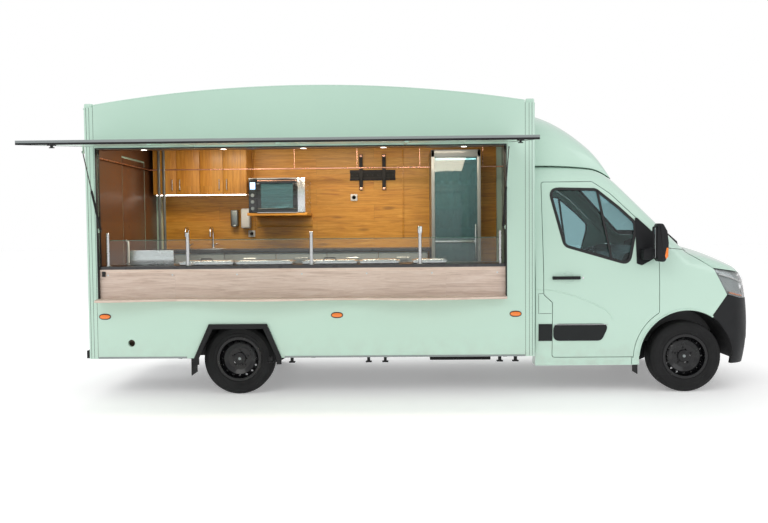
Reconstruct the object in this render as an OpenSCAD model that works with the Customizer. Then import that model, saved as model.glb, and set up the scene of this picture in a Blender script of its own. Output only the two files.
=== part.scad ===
// Food truck: an insulated serving box on a low front-wheel-drive van chassis, with its long
// side flap open. X points forwards, Y to the driver's side, Z up, and the tyres stand on z = 0.
// Lengths are millimetres. Inside this file places are counted from the front axle and the
// truck's centre line, and "placed" moves the whole truck over the middle of its footprint.

/* [Overall] */
// Distance between the two axles
wheelbase = 4332; // [4100:4:4500]
// Length of the box outside
box_length = 4290; // [4000:10:4500]
// Width of the box outside
box_width = 2200; // [2140:10:2300]
// How far the box's front face lies behind the front axle
box_setback = 1465; // [1460:5:1500]
// Height of the box's lower edge above the ground
box_bottom = 378; // [340:2:400]
// Height of the roof panel's top above the ground
roof_top = 2700; // [2620:10:2800]

/* [Box body] */
// Thickness of the sandwich walls
wall = 35; // [25:1:50]
// Thickness of the floor panel
floor_thick = 60; // [40:2:80]
// Thickness of the roof panel
roof_thick = 40; // [30:2:60]
// Width of the square corner posts
post = 100; // [80:2:120]
// Radius of the posts' outer corner
post_round = 40; // [20:2:50]
// How far the posts rise above the roof panel
post_rise = 110; // [60:5:140]
// How far the arched fascia's ends rise above the roof panel
fascia_rise = 105; // [60:5:130]
// Height of the arch above the fascia's ends
fascia_arch = 163; // [100:1:220]

/* [Serving side] */
// Length of the serving opening
opening_length = 3896; // [3500:4:3900]
// Distance from the box's front face to the opening
opening_setback = 279; // [270:1:400]
// Height of the opening's lower edge above the ground
opening_bottom = 937; // [900:1:1000]
// Height of the opening
opening_height = 1448; // [1380:2:1480]
// Thickness of the serving flap
flap_thick = 30; // [24:1:40]
// How far the flap overlaps the opening at each end
flap_overlap = 44; // [20:1:50]
// How far the open flap slopes down from level, in degrees
flap_droop = 5.4; // [0:0.1:10]
// Height of the counter above the ground
counter_top = 1262; // [1200:2:1300]
// Depth of the serving counter
counter_depth = 580; // [450:5:640]
// How far the wavy customer shelf stands out of the wall, at its middle
shelf_reach = 150; // [100:5:200]
// Height of the glass guards above the counter
guard_height = 316; // [200:2:380]

/* [Rear door] */
// Width of the rear door leaf
rear_door_width = 720; // [600:5:800]
// Height of the rear door leaf
rear_door_height = 1920; // [1700:5:1960]
// Sideways place of the leaf's middle
rear_door_y = 190; // [100:5:200]

/* [Cab] */
// Width of the cab at its waist
cab_width = 2070; // [2000:10:2100]
// Length of the cab ahead of the front axle
cab_nose = 869; // [800:1:900]
// Highest point of the cab's roof
cab_roof = 2250; // [2200:5:2300]
// Thickness of the cab's doors and panels
cab_wall = 55; // [45:1:65]
// Width of the joints between the cab's panels
shut_gap = 6; // [4:0.5:8]

/* [Wheels] */
// Outer radius of the tyres
tyre_radius = 343; // [320:1:350]
// Width of the tyres
tyre_width = 215; // [195:5:225]
// Radius of the rims where the tyre sits
rim_radius = 203; // [190:1:216]
// Distance between the front tyres' middles
track_front = 1750; // [1700:5:1760]
// Distance between the rear tyres' middles
track_rear = 1730; // [1700:5:1760]

/* [Kitchen] */
// Width of the combi oven
oven_width = 650; // [500:5:700]
// Height of the combi oven
oven_height = 400; // [350:5:600]
// Width of the tall fridge
fridge_width = 565; // [500:5:650]
// Length of the wall cupboards
cupboard_length = 1110; // [800:10:1150]
// Depth of the wall cupboards
cupboard_depth = 360; // [300:5:400]

/* [Hidden] */
$fn = 64;

// Colours
mint = [0.76, 0.86, 0.80];
black = [0.07, 0.07, 0.08];
oak_pale = [0.86, 0.75, 0.66];
oak_warm = [0.55, 0.34, 0.16];
steel = [0.72, 0.73, 0.74];
dark_steel = [0.25, 0.26, 0.28];
glass_tint = [0.55, 0.65, 0.68, 0.4];
amber = [0.95, 0.50, 0.10];
grey = [0.55, 0.57, 0.58];

// Clearances
seat_gap = 0.3; // between a piece and the seat that carries it
run_gap = 6; // between a moving piece and its surroundings

// Box
side_y = box_width / 2;
inner_y = side_y - wall;
front_x = -box_setback;
rear_x = front_x - box_length;
floor_top = box_bottom + 102;
floor_under = floor_top - floor_thick;
roof_under = roof_top - roof_thick;
opening_front = front_x - opening_setback;
opening_rear = opening_front - opening_length;
opening_top = opening_bottom + opening_height;
lintel_top = opening_top + 40;
fascia_ends = roof_top + fascia_rise;
post_top = roof_top + post_rise;
shelf_thick = 20;
shelf_top = opening_bottom + shelf_thick;

// Serving flap: the hinge line, and the panel in the closed flap's own frame
hinge_y = -side_y - 15;
hinge_z = lintel_top - 10;
flap_inside = 7;
flap_head = 20;
flap_foot = hinge_z - shelf_top - 10;
flap_turn = 90 - flap_droop;
flap_front = opening_front + flap_overlap;
flap_rear = opening_rear - flap_overlap;
knuckle_count = 12;
knuckle_length = 60;
knuckle_gap = 0.4; // between neighbouring knuckles of a hinge
hinge_pin_r = 6;

// Gas struts, in the plane across the truck
strut_inset = 24;
strut_front_x = opening_front - strut_inset;
strut_rear_x = opening_rear + strut_inset;
strut_foot = [-side_y + 22, opening_bottom + 673];
strut_head = 355;
strut_drop = 60;
strut_plate = 6;
strut_pin_r = 3.7;
strut_bore_r = 4;
barrel_r = 11;
rod_r = 5;
eye_r = 12;
eye_wide = 10;
barrel_length = 420;
rod_length = 420;
strut_eye = [
    hinge_y + strut_drop * cos(flap_turn) - strut_head * sin(flap_turn),
    hinge_z - strut_drop * sin(flap_turn) - strut_head * cos(flap_turn)
];
strut_open = norm(strut_eye - strut_foot);
strut_lean = atan2(strut_foot[0] - strut_eye[0], strut_eye[1] - strut_foot[1]);

// Wheels
rear_axle_x = -wheelbase;
king_inset = 60;
king_y = track_front / 2 - king_inset;
arch_r = 450;
door_arch_r = 515;
hub_r = 75;
hub_bore = 33;
stud_circle = 65;
rim_width = 178;

// Cab, as one smooth skin
belt = cab_width / 2;
cab_rear = front_x + 12;
cab_bottom = 270;
cab_floor = 560;
screen_base = 1615;
nose_height = 620;

// The whole truck's box, which places its frame
plate_proud = 10;
bumper_proud = 30;
mirror_out = belt + 200;
flap_out = hinge_y - flap_foot * sin(flap_turn) + min(
    flap_inside * cos(flap_turn), (flap_inside - flap_thick) * cos(flap_turn));
middle_x = (cab_nose + plate_proud + rear_x - bumper_proud) / 2;
middle_y = (flap_out + mirror_out) / 2;

module placed() translate([-middle_x, -middle_y, 0]) children();
module mirrored() { children(); mirror([0, 1, 0]) children(); }
module block(lo, hi) translate(lo) cube(hi - lo);
module rod_y(x, z, r, y0, y1) translate([x, y0, z]) rotate([-90, 0, 0]) cylinder(r = r, h = y1 - y0);
module rod_x(y, z, r, x0, x1) translate([x0, y, z]) rotate([0, 90, 0]) cylinder(r = r, h = x1 - x0);

// ---- The cab's skin: where cab_field is 0, and cab_wall deep where it is -cab_wall ----
function side_half(x, z) = belt - 0.00012 * pow(max(x + 300, 0), 2)
    - 0.085 * (norm([z - 1190, 120]) + z - 1190) - 35 * pow(max(900 - z, 0) / 600, 2);
function nose_x(y, z) = cab_nose - (z > nose_height ? 0.00022 : 0.00035) * pow(z - nose_height, 2)
    - 193 * pow(abs(y) / 750, 1.75);
function hood_z(x, y) = 1440 - 0.14 * x - 0.00035 * x * x - 60 * pow(y / 700, 2);
function screen_z(x, y) = screen_base - 0.979 * (x + 80 + 120 * pow(y / 750, 2));
function roof_z(x, y) = cab_roof - 0.00012 * pow(max(x + 1400, 0), 2) - 55 * pow(y / 800, 2);
function soft_min(a, b, k) = min(a, b) - pow(max(k - abs(a - b), 0) / k, 2) * k / 4;
function top_z(x, y) = -soft_min(-hood_z(x, y), -soft_min(screen_z(x, y), roof_z(x, y), 120), 20);
function rounded(a, b, r) = min(max(a, b), -r) + norm([max(a + r, 0), max(b + r, 0)]);
function cab_field(p) = let (y = abs(p[1])) rounded(
    rounded(y - side_half(p[0], p[2]), p[2] - top_z(p[0], y), 110), p[0] - nose_x(y, p[2]), 90);
function on_skin(p, d, deep, lo = 0, hi = 2600, n = 16) = n == 0 ? p + d * (lo + hi) / 2 :
    let (mid = (lo + hi) / 2)
    cab_field(p + d * mid) + deep < 0 ? on_skin(p, d, deep, mid, hi, n - 1)
    : on_skin(p, d, deep, lo, mid, n - 1);

ring_steps = 48;
ring_from = -52;
ring_turn = 360 - 2 * (90 + ring_from);
skin_core = 900;
barrel_rings = 26;
nose_rings = 13;
function ring_angle(i) = ring_from + ring_turn * i / ring_steps;
function skin_rings(deep, start) = concat(
    [for (j = [0 : barrel_rings]) let (x = start * (1 - j / barrel_rings))
        [for (i = [0 : ring_steps]) let (a = ring_angle(i))
            on_skin([x, 0, skin_core], [0, cos(a), sin(a)], deep)]],
    [for (j = [1 : nose_rings]) let (b = 86 * j / nose_rings)
        [for (i = [0 : ring_steps]) let (a = ring_angle(i))
            on_skin([0, 0, skin_core], [sin(b), cos(b) * cos(a), cos(b) * sin(a)], deep)]]);

// A closed solid through rings of equally many points; first lists the faces that close the first ring
module lofted(rings, first = []) {
    n = len(rings[0]);
    m = len(rings);
    polyhedron(
        points = [for (r = rings) each r],
        faces = concat(
            len(first) ? first : [[for (i = [0 : n - 1]) i]],
            len(first) ? [for (f = first) [for (i = [len(f) - 1 : -1 : 0]) (m - 1) * n + f[i]]]
                : [[for (i = [0 : n - 1]) (m - 1) * n + n - 1 - i]],
            [for (j = [0 : m - 2], i = [0 : n - 1]) let (k = (i + 1) % n)
                each [[j * n + i, (j + 1) * n + i, j * n + k],
                    [j * n + k, (j + 1) * n + i, (j + 1) * n + k]]]));
}
module cab_volume(deep) lofted(skin_rings(deep, cab_rear + (deep > 0 ? cab_wall : 0)));
module cab_shell(outside = 0, inside = cab_wall) difference() {
    cab_volume(outside);
    cab_volume(inside);
    block([cab_rear - 1, -belt - 50, -900], [cab_nose + 50, belt + 50, cab_bottom]);
}
// Everything in here is worked out as one mesh
module meshed() resize([0, 0, 0]) children();

// Outlines seen from the side, as x and height, drawn out to y0..y1
module side_cut(y0, y1) translate([0, y1, 0]) rotate([90, 0, 0]) linear_extrude(y1 - y0) children();
function arc(c, r, a0, a1, n = 12) = [for (i = [0 : n]) let (a = a0 + (a1 - a0) * i / n)
    c + r * [cos(a), sin(a)]];
hub_point = [0, tyre_radius];
door_front = -275;
door_rear = -1373;
door_foot_rear = -1290;
door_bottom = 353;
function door_outline() = concat(
    [[door_rear, 2040], [-885, 2040], [-720, 1925], [-551, 1759], [-325, 1539], [door_front, 1480]],
    arc(hub_point, door_arch_r, 180 - acos(-door_front / door_arch_r), 180, 10),
    [[-door_arch_r, door_bottom], [door_foot_rear, door_bottom], [door_foot_rear, 884],
     [door_rear, 961]]);
function window_outline() = [[-1301, 1977], [-851, 1965], [-641, 1790], [-490, 1645], [-490, 1560],
    [-560, 1245], [-1165, 1425]];
module door_shape(grow = 0) offset(delta = grow) offset(r = 30) offset(delta = -30)
    polygon(door_outline());
module window_shape(grow = 0) offset(delta = grow) offset(r = 35) offset(delta = -35)
    polygon(window_outline());
module bonnet_shape(grow = 0) offset(delta = grow)
    polygon([[-20, 1382], [262, 1198], [500, 1163], [700, 1106], [900, 1060], [900, 1600], [-20, 1600]]);
module lamp_shape(grow = 0) offset(delta = grow)
    polygon([[266, 1188], [500, 1155], [700, 1098], [900, 1045], [900, 880], [533, 908], [402, 944]]);
module bumper_shape(grow = 0) offset(delta = grow) polygon(concat(
    [[398, 943.5], [533, 907.5], [900, 879.5], [900, cab_bottom - 5], [arch_r - 20, cab_bottom - 5]],
    arc(hub_point, arch_r + 7, -9, 58, 8)));
module wing_shape(grow = 0) offset(delta = grow) difference() {
    polygon([[door_front + shut_gap, 1400], [-20, 1375], [258, 1192], [392, 940], [226, 715],
        [226, 300], [-door_arch_r + shut_gap, cab_bottom + 2], [-door_arch_r - 8, cab_bottom + 2],
        [-door_arch_r - 8, 360], [-door_arch_r, 500], [-300, 800], [door_front + shut_gap, 830]]);
    translate(hub_point) circle(r = arch_r + 7);
    door_shape(shut_gap);
}
module grille_zone(grow = 0) block([500, -430 - grow, 640], [950, 430 + grow, 1085 + grow]);

// The windscreen's outline seen from the front, as y and height
module screen_shape(grow = 0) offset(delta = grow) offset(r = 50) offset(delta = -50)
    polygon([[-850, 1510], [-735, 2080], [735, 2080], [850, 1510]]);
module screen_cut(grow = 0) translate([-760, 0, 0]) rotate([90, 0, 90]) linear_extrude(1000)
    screen_shape(grow);
module wheel_room(r = arch_r) mirrored() rod_y(0, tyre_radius, r, 555, belt + 60);

// ---- Running gear ----
rail_y = 430;
rail_wide = 60;
rail_low = floor_under - 110;
module chassis_rails() placed() color(dark_steel) mirrored() {
    block([rear_x + 60, rail_y, rail_low], [600, rail_y + rail_wide, floor_under]);
}
cross_size = 70;
function cross_places() = [rear_x + 90, rear_x + 500, rear_axle_x - 420, rear_axle_x + 420,
    rear_axle_x + 1120, rear_axle_x + 1820, rear_axle_x + 2520, -900, -560];
arm_half = 30;
arm_thick = 27;
king_r = 24;
king_low = tyre_radius - 110;
king_high = tyre_radius + 120;
tow_spacing = 120;
tow_bolt_r = 6;
eye_thread_r = 10;
module crossmembers() placed() color(dark_steel) {
    for (x = cross_places())
        block([x, -rail_y, rail_low + 20], [x + cross_size, rail_y, rail_low + 20 + cross_size]);
    // Front beam, with the towing eye's threaded hole
    difference() {
        block([600, -rail_y - rail_wide, rail_low], [650, rail_y + rail_wide, floor_under]);
        rod_x(-rail_y, rail_low + 65, eye_thread_r, 599, 651);
    }
    // Rear plate for a tow bar, with four bolt holes
    difference() {
        block([rear_x + 48, -rail_y - rail_wide, rail_low], [rear_x + 60, rail_y + rail_wide, floor_under]);
        for (y = [-1, 1], z = [-1, 1])
            rod_x(y * tow_spacing, rail_low + 65 + z * 35, tow_bolt_r, rear_x + 47, rear_x + 61);
    }
    // Guides of the sliding step, hung from the frame
    for (s = [-1, 1]) intersection() {
        step_frame() translate([20, s * (step_half + 18 + seat_gap) - 3, -20]) cube([480, 6, 200]);
        block([rear_x, -rail_y - rail_wide, 0], [rear_x + 900, rail_y + rail_wide, s > 0 ? rail_low : rail_low + 20]);
    }
    // Engine mounts
    mirrored() block([80, engine_half + seat_gap, 370], [160, rail_y, 410]);
    // Lower and upper arms that hold the front kingpins
    mirrored() {
        block([-arm_half, rail_y + 40, king_low - arm_thick], [arm_half, king_y + 20, king_low - seat_gap]);
        block([-arm_half, rail_y + 40, king_low - arm_thick], [arm_half, rail_y + rail_wide, rail_low]);
        block([-arm_half, rail_y + rail_wide, king_high + seat_gap], [arm_half, king_y + 20, king_high + arm_thick]);
        block([-arm_half, rail_y + rail_wide, rail_low], [arm_half, rail_y + rail_wide + 40, king_high + arm_thick]);
    }
    // Brackets that carry the sides' lower edges
    mirrored() for (x = [rear_axle_x + 720, rear_axle_x + 1420, rear_axle_x + 2560])
        block([x, rail_y + rail_wide, floor_under - 50], [x + 40, inner_y, floor_under]);
}
beam_r = 38;
spring_y = rail_y + rail_wide / 2;
module rear_axle() placed() color(dark_steel) {
    rod_y(rear_axle_x, tyre_radius - 90, beam_r, -640, 640);
    mirrored() {
        block([rear_axle_x - 60, 600, tyre_radius - 130], [rear_axle_x + 60, 660, tyre_radius + 60]);
        rod_y(rear_axle_x, tyre_radius, hub_r, 660, track_rear / 2 - 60);
        rod_y(rear_axle_x, tyre_radius, hub_bore - seat_gap, track_rear / 2 - 60, track_rear / 2 + 42);
        // Spring seat up to the rail
        block([rear_axle_x - 50, rail_y, tyre_radius - 110], [rear_axle_x + 50, rail_y + rail_wide, rail_low]);
    }
}
engine_half = 360;
module engine() placed() color(grey) block([-260, -engine_half, floor_under - 60], [480, engine_half, 1080]);
exhaust_y = 250;
exhaust_z = floor_under - 130;
pipe_r = 26;
module fuel_tank() placed() color(black) {
    block([rear_axle_x + 1820 + cross_size + seat_gap, -400, floor_under - 190],
        [rear_axle_x + 2520 - seat_gap, 150, floor_under - seat_gap]);
    // Exhaust silencer on its hanger, and the pipe forwards to the engine
    rod_x(exhaust_y, exhaust_z, 80, rear_axle_x + 620, rear_axle_x + 1060);
    block([rear_axle_x + 820, exhaust_y - 15, exhaust_z], [rear_axle_x + 860, exhaust_y + 15, floor_under - seat_gap]);
    rod_x(exhaust_y, exhaust_z, pipe_r, rear_axle_x + 1060, -200);
    translate([-200, exhaust_y, exhaust_z]) sphere(r = pipe_r);
    translate([-200, exhaust_y, exhaust_z]) cylinder(r = pipe_r, h = floor_under - 60 - seat_gap - exhaust_z);
}

// ---- Cab ----
firewall = -360;
module cab_body() placed() color(mint) meshed() union() {
    difference() {
        cab_shell();
        mirrored() side_cut(500, belt + 60) door_shape(shut_gap);
        mirrored() side_cut(300, belt + 60) wing_shape(shut_gap);
        bonnet_region(shut_gap);
        side_cut(-belt - 60, belt + 60) bumper_shape(shut_gap);
        side_cut(-belt - 60, belt + 60) lamp_shape(shut_gap);
        screen_cut(0);
        wheel_room(arch_r + 12);
        block([140, -belt - 50, 0], [cab_nose + 50, belt + 50, 3000]);
        // Room for the rails under the rear wall, and for the bonnet's rear edge as it swings up
        block([cab_rear - 1, -840, cab_bottom - 1], [cab_rear + cab_wall + 5, 840, floor_under + 2]);
        rod_y(bonnet_hinge[0], bonnet_hinge[1], cowl_r, -cowl_half, cowl_half);
    }
    // Scuttle tray round the bonnet's hinge, with its two arms
    intersection() {
        cab_volume(2);
        block([-200, -cowl_half, 1290], [60, cowl_half, 1600]);
        difference() {
            rod_y(bonnet_hinge[0], bonnet_hinge[1], cowl_r + 8, -cowl_half, cowl_half);
            rod_y(bonnet_hinge[0], bonnet_hinge[1], cowl_r, -cowl_half - 1, cowl_half + 1);
        }
    }
    mirrored() block([bonnet_hinge[0] - cowl_r - 7, 400, 1360], [bonnet_hinge[0] + 10, 406 - knuckle_gap, 1395]);
    difference() {
        intersection() {
        cab_volume(cab_wall - 2);
        union() {
            // Floor, bulkhead, scuttle and the two inner sills
            difference() {
                block([cab_rear + 20, -belt, cab_floor - 40], [firewall, belt, cab_floor]);
                wheel_room(arch_r + 12);
                mirrored() side_cut(belt - 95, belt + 60) door_shape(shut_gap);
            }
            difference() {
                block([firewall - 30, -belt, floor_under + 2], [firewall, belt, dash_low - seat_gap]);
                wheel_room(arch_r + 12);
                mirrored() side_cut(belt - 95, belt + 60) door_shape(shut_gap);
            }
            mirrored() block([cab_rear + 20, 840, cab_bottom], [-520, 1000, door_bottom - 8]);
            mirrored() block([cab_rear + 20, 840, cab_bottom], [-560, 880, cab_floor - 1]);
        }
        }
        mirrored() side_cut(300, belt + 60) wing_shape(1);
    }
    // Cab mounts down to the chassis rails
    mirrored() block([-1400, rail_y, floor_under], [-1300, rail_y + rail_wide, cab_floor - 20]);
    mirrored() block([-700, rail_y, floor_under], [-600, rail_y + rail_wide, cab_floor - 20]);
}
module front_wings() placed() color(mint) meshed() {
    intersection() {
        cab_shell();
        mirrored() side_cut(400, belt + 60) wing_shape();
    }
    // Hinge lugs of the cab doors
    mirrored() for (z = door_pin_places) block([door_front + seat_gap, 990, z], [door_front + 13, 1010, z + door_pin_tall]);
}
eye_way_r = 22;
bonnet_thick = 30;
bonnet_hinge = [25, 1385];
cowl_r = 110;
cowl_half = 800;
function bonnet_rear(y) = 120 - 75 * pow(y / 900, 2);
module bonnet_plan(grow) translate([0, 0, 900]) linear_extrude(800) offset(delta = grow) polygon(concat(
    [for (y = [-950 : 50 : 950]) [bonnet_rear(y), y]], [[1000, 950], [1000, -950]]));
module bonnet_region(grow = 0) intersection() {
    side_cut(-belt - 60, belt + 60) bonnet_shape(grow);
    bonnet_plan(grow);
}
module bonnet() placed() color(mint) {
    meshed() {
        intersection() {
            cab_shell(0, bonnet_thick);
            bonnet_region();
        }
        mirrored() block([bonnet_hinge[0] - 10, 406, 1355], [bonnet_hinge[0] + 115, 412, 1396]);
    }
    // Pin heads beside the hinge plates
    mirrored() rod_y(bonnet_hinge[0], bonnet_hinge[1], hinge_pin_r, 412 + seat_gap, 424);
}
module front_bumper() placed() color(black) {
    meshed() difference() {
        intersection() {
            cab_shell();
            union() {
                side_cut(-belt - 60, belt + 60) bumper_shape();
                grille_zone();
            }
        }
        bonnet_region(shut_gap);
        // Lower air intake
        block([500, -420, 430], [950, 420, 600]);
        // Way to the towing eye
        translate([500, -rail_y, rail_low + 65]) rotate([0, 90, 0]) cylinder(r = eye_way_r, h = 500, $fn = 32);
    }
    // Blank number plate and the beam that carries the bumper
    block([cab_nose - 20, -260, 625], [cab_nose + plate_proud, 260, 735]);
    difference() {
        block([650, -560, 320], [760, 560, 400]);
        rod_x(-rail_y, rail_low + 65, eye_way_r, 649, 761);
    }
}
module headlights() placed() color(glass_tint) meshed() difference() {
    intersection() {
        cab_shell(0, 45);
        side_cut(-belt - 60, belt + 60) lamp_shape();
    }
    grille_zone(shut_gap);
    block([-50, -436, 800], [950, 436, 1200]);
}
screen_thick = 6;
module windscreen() placed() color(glass_tint) meshed() intersection() {
    cab_shell(8, 8 + screen_thick);
    screen_cut(-1);
}
// Roof deflector: its top runs in one curve from the box down to the cab's roof
deflector_tip = -640;
function deflector_z(s) = 2160 + 520 * pow(1 - pow(s, 1.5), 0.85);
function deflector_half(s) = 800 - 150 * pow(s, 2.5);
deflector_rings = 16;
deflector_steps = 20;
function roof_at(x, y) = on_skin([x, y, 1300], [0, 0, 1], 0)[2];
deflector_foot = 15;
deflector_low = 7;
deflector_thick = 25;
function deflector_y(half, a) = half * pow(abs(cos(a)), 0.55) * sign(cos(a));
function deflector_ring(x, half, rise) = concat(
    [for (i = [0 : deflector_steps]) let (a = 180 * i / deflector_steps, y = deflector_y(half - deflector_thick, a))
        [x, y, roof_at(x, y) + deflector_low + max(rise - deflector_thick, 0) * pow(sin(a), 0.5)]],
    [[x, -half, roof_at(x, -half) + deflector_low]],
    [for (i = [0 : deflector_steps]) let (a = 180 * (1 - i / deflector_steps), y = deflector_y(half, a))
        [x, y, roof_at(x, y) + deflector_foot + rise * pow(sin(a), 0.5)]],
    [[x, half, roof_at(x, half) + deflector_low]]);
module roof_deflector() placed() color(mint) lofted([for (j = [0 : deflector_rings]) let (s = j / deflector_rings)
    deflector_ring(front_x + seat_gap + (deflector_tip - front_x) * s, deflector_half(s),
        max(deflector_z(s) - deflector_z(1), 1))], let (k = deflector_steps) concat(
    [for (i = [0 : k - 1]) each [[i, i + 1, 2 * k + 2 - i], [i + 1, 2 * k + 1 - i, 2 * k + 2 - i]]],
    [[k, k + 1, k + 2], [2 * k + 2, 2 * k + 3, 0]]));
wheel_seat_y = 400;
column_tilt = 34;
column_top = [-700, 1270];
hub_half = 20;
module at_column() translate([column_top[0], wheel_seat_y, column_top[1]]) rotate([0, -column_tilt, 0])
    children();
module steering_wheel() placed() color(black) at_column() {
    rotate_extrude() translate([185, 0]) circle(r = 15);
    cylinder(r = 55, h = 2 * hub_half, center = true);
    for (a = [90, 210, 330]) rotate([0, 0, a]) translate([40, -18, -8]) cube([135, 36, 16]);
}
module dashboard() placed() color(black) {
    dashboard_body();
    at_column() translate([0, 0, -hub_half - 0.5 - 150]) cylinder(r = 30, h = 150);
}
dash_low = 1040;
module dashboard_body() meshed() intersection() {
    cab_volume(cab_wall + 8);
    difference() {
        hull() {
            block([-620, -880, 1100], [firewall, 880, 1220]);
            block([-560, -880, dash_low], [firewall, 880, 1340]);
            block([firewall, -820, 1290], [-180, 820, 1400]);
        }
        mirrored() side_cut(belt - 110, belt + 60) door_shape(shut_gap);
    }
}
module seat(y, half) {
    block([-1290, y - half, 700], [-770, y + half, 860]);
    hull() {
        block([-1290, y - half, 860], [-1170, y + half, 900]);
        block([-1390, y - half + 30, 1380], [-1290, y + half - 30, 1420]);
    }
}
module cab_seats() placed() color(dark_steel) {
    for (s = [[wheel_seat_y + 90, 250], [-330, 460]]) {
        seat(s[0], s[1]);
        block([-1240, s[0] - s[1] + 30, cab_floor], [-820, s[0] + s[1] - 30, 700]);
    }
    for (y = [wheel_seat_y + 90, -130, -560])
        block([-1385, y - 120, 1430], [-1300, y + 120, 1600]);
    for (y = [wheel_seat_y + 90, -130, -560]) translate([-1342, y, 1410]) cylinder(r = 8, h = 30);
}
door_axis = [-285, 1024];
door_pin_r = 5;
module cab_door() {
    meshed() difference() {
        intersection() {
            cab_shell();
            side_cut(500, belt + 60) door_shape();
        }
        side_cut(500, belt + 60) window_shape();
        for (z = door_pin_places) block([door_axis[0] - door_pin_r - seat_gap, door_axis[1] - door_pin_r - seat_gap, z],
            [door_front + 1, door_axis[1] + door_pin_r + seat_gap, z + door_pin_tall]);
    }
    // Hinge pins, each in its slot in the door's front edge
    for (z = door_pin_places) translate([door_axis[0], door_axis[1], z + seat_gap])
        cylinder(r = door_pin_r, h = door_pin_tall - 2 * seat_gap);
}
door_pin_places = [880, 1200];
door_pin_tall = 60;
glass_thick = 5;
module cab_door_glass() meshed() intersection() {
    cab_shell(14, 14 + glass_thick);
    side_cut(500, belt + 60) window_shape(-seat_gap);
}
mirror_in = 1110;
module mirror_unit() meshed() {
    // Foot on the door's front corner, arm, then the housing
    difference() {
        union() {
            intersection() {
                cab_volume(-18);
                side_cut(800, belt + 60) polygon([[-490, 1280], [-330, 1280], [-330, 1480], [-470, 1560]]);
            }
            block([-465, 990, 1290], [-335, mirror_in + 2, 1330]);
        }
        cab_volume(-seat_gap);
    }
    hull() for (x = [-350, -277], z = [1300, 1600])
        translate([x, mirror_in, z]) rotate([-90, 0, 0]) cylinder(r = 32, h = mirror_out - mirror_in, $fn = 32);
}
module door_right() placed() color(mint) mirror([0, 1, 0]) cab_door();
module door_left() placed() color(mint) cab_door();
module door_glass_right() placed() color(glass_tint) mirror([0, 1, 0]) cab_door_glass();
module door_glass_left() placed() color(glass_tint) cab_door_glass();
module mirror_right() placed() color(black) mirror([0, 1, 0]) mirror_unit();
module mirror_left() placed() color(black) mirror_unit();

// ---- Box ----
flare = 45;
flare_proud = 22;
arch_box_x = 460;
arch_box_y = 735;
arch_box_top = 745;
module arch_polygon(inset) polygon([
    [-398 + inset, -60], [-398 + inset, 5], [-253 + inset * 0.8, 328 - inset],
    [304 - inset * 0.8, 328 - inset], [439 - inset, 5], [439 - inset, -60]]);
module arch_prism(inset, y0, y1) translate([rear_axle_x, y1, box_bottom]) rotate([90, 0, 0])
    linear_extrude(y1 - y0) arch_polygon(inset);
module post_squares() for (x = [rear_x, front_x - post], y = [-side_y, side_y - post])
    block([x, y, box_bottom], [x + post, y + post, roof_top + 1]);
module box_floor() placed() color(grey) difference() {
    block([rear_x + wall, -inner_y, floor_under], [front_x - wall, inner_y, floor_top]);
    post_squares();
    mirrored() block([rear_axle_x - arch_box_x, arch_box_y, floor_under - 1],
        [rear_axle_x + arch_box_x, inner_y + 1, floor_top + 1]);
}
module box_front_wall() placed() color(mint)
    block([front_x - wall, -side_y + post, floor_under], [front_x, side_y - post, roof_under]);
door_hinge_out = 14;
door_hinge_y = rear_door_y + rear_door_width / 2 + 8;
hinge_tall = 50;
hinge_plate = 45;
// One leaf of a rear door hinge; side 1 is on the wall, side -1 on the door
module door_hinge_leaf(side) for (z = [floor_top + 200, floor_top + 900, floor_top + 1600])
    translate([rear_x - door_hinge_out, door_hinge_y, z + (side < 0 ? hinge_tall + knuckle_gap : 0)]) {
        cylinder(r = hinge_pin_r + 2, h = hinge_tall);
        block([-3, min(0, side * hinge_plate), 0], [door_hinge_out, max(0, side * hinge_plate), hinge_tall]);
    }
module box_rear_wall() placed() color(mint) {
    difference() {
        block([rear_x, -side_y + post, box_bottom], [rear_x + wall, side_y - post, roof_under]);
        block([rear_x - 1, rear_door_y - rear_door_width / 2 - run_gap, floor_top],
            [rear_x + wall + 1, rear_door_y + rear_door_width / 2 + run_gap, floor_top + rear_door_height + run_gap]);
    }
    door_hinge_leaf(1);
}
module box_left_wall() placed() color(mint) difference() {
    block([rear_x + post, inner_y, box_bottom], [front_x - post, side_y, roof_under]);
    arch_prism(flare - 10, inner_y - 1, side_y + 1);
}
inlet_r = 34;
inlet_x = rear_x + 420;
module box_serving_wall() placed() color(mint) {
    difference() {
        block([rear_x + post, -side_y, box_bottom], [front_x - post, -inner_y, lintel_top]);
        block([opening_rear, -side_y - 1, opening_bottom], [opening_front, -inner_y + 1, opening_top]);
        arch_prism(flare - 10, -side_y - 1, -inner_y + 1);
        // Round hole for the mains inlet
        rod_y(inlet_x, box_bottom + 150, inlet_r, -side_y - 1, -inner_y + 1);
    }
    // Hinge knuckles along the lintel
    for (i = [0 : knuckle_count - 1]) let (x = knuckle_x(i)) {
        rod_x(hinge_y, hinge_z, hinge_pin_r, x, x + knuckle_length);
        block([x, hinge_y, hinge_z - 3], [x + knuckle_length, -side_y, hinge_z + 3]);
    }
    // Feet of the gas struts
    for (f = [[strut_rear_x, -1], [strut_front_x, 1]]) translate([f[0], strut_foot[0], strut_foot[1]]) scale([f[1], 1, 1]) {
        block([barrel_r + 5, -12, -20], [strut_inset, 12, 20]);
        rod_x(0, 0, strut_pin_r, -eye_wide / 2, barrel_r + 6);
    }
}
function knuckle_x(i) = flap_rear + 60 + i * (flap_front - flap_rear - 120 - 2 * knuckle_length - knuckle_gap)
    / (knuckle_count - 1);
module box_roof() placed() color(mint) difference() {
    block([rear_x, -inner_y, roof_under], [front_x, side_y, roof_top]);
    post_squares();
}
fascia_half = box_length / 2 - post;
fascia_r = (fascia_half * fascia_half + fascia_arch * fascia_arch) / (2 * fascia_arch);
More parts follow.
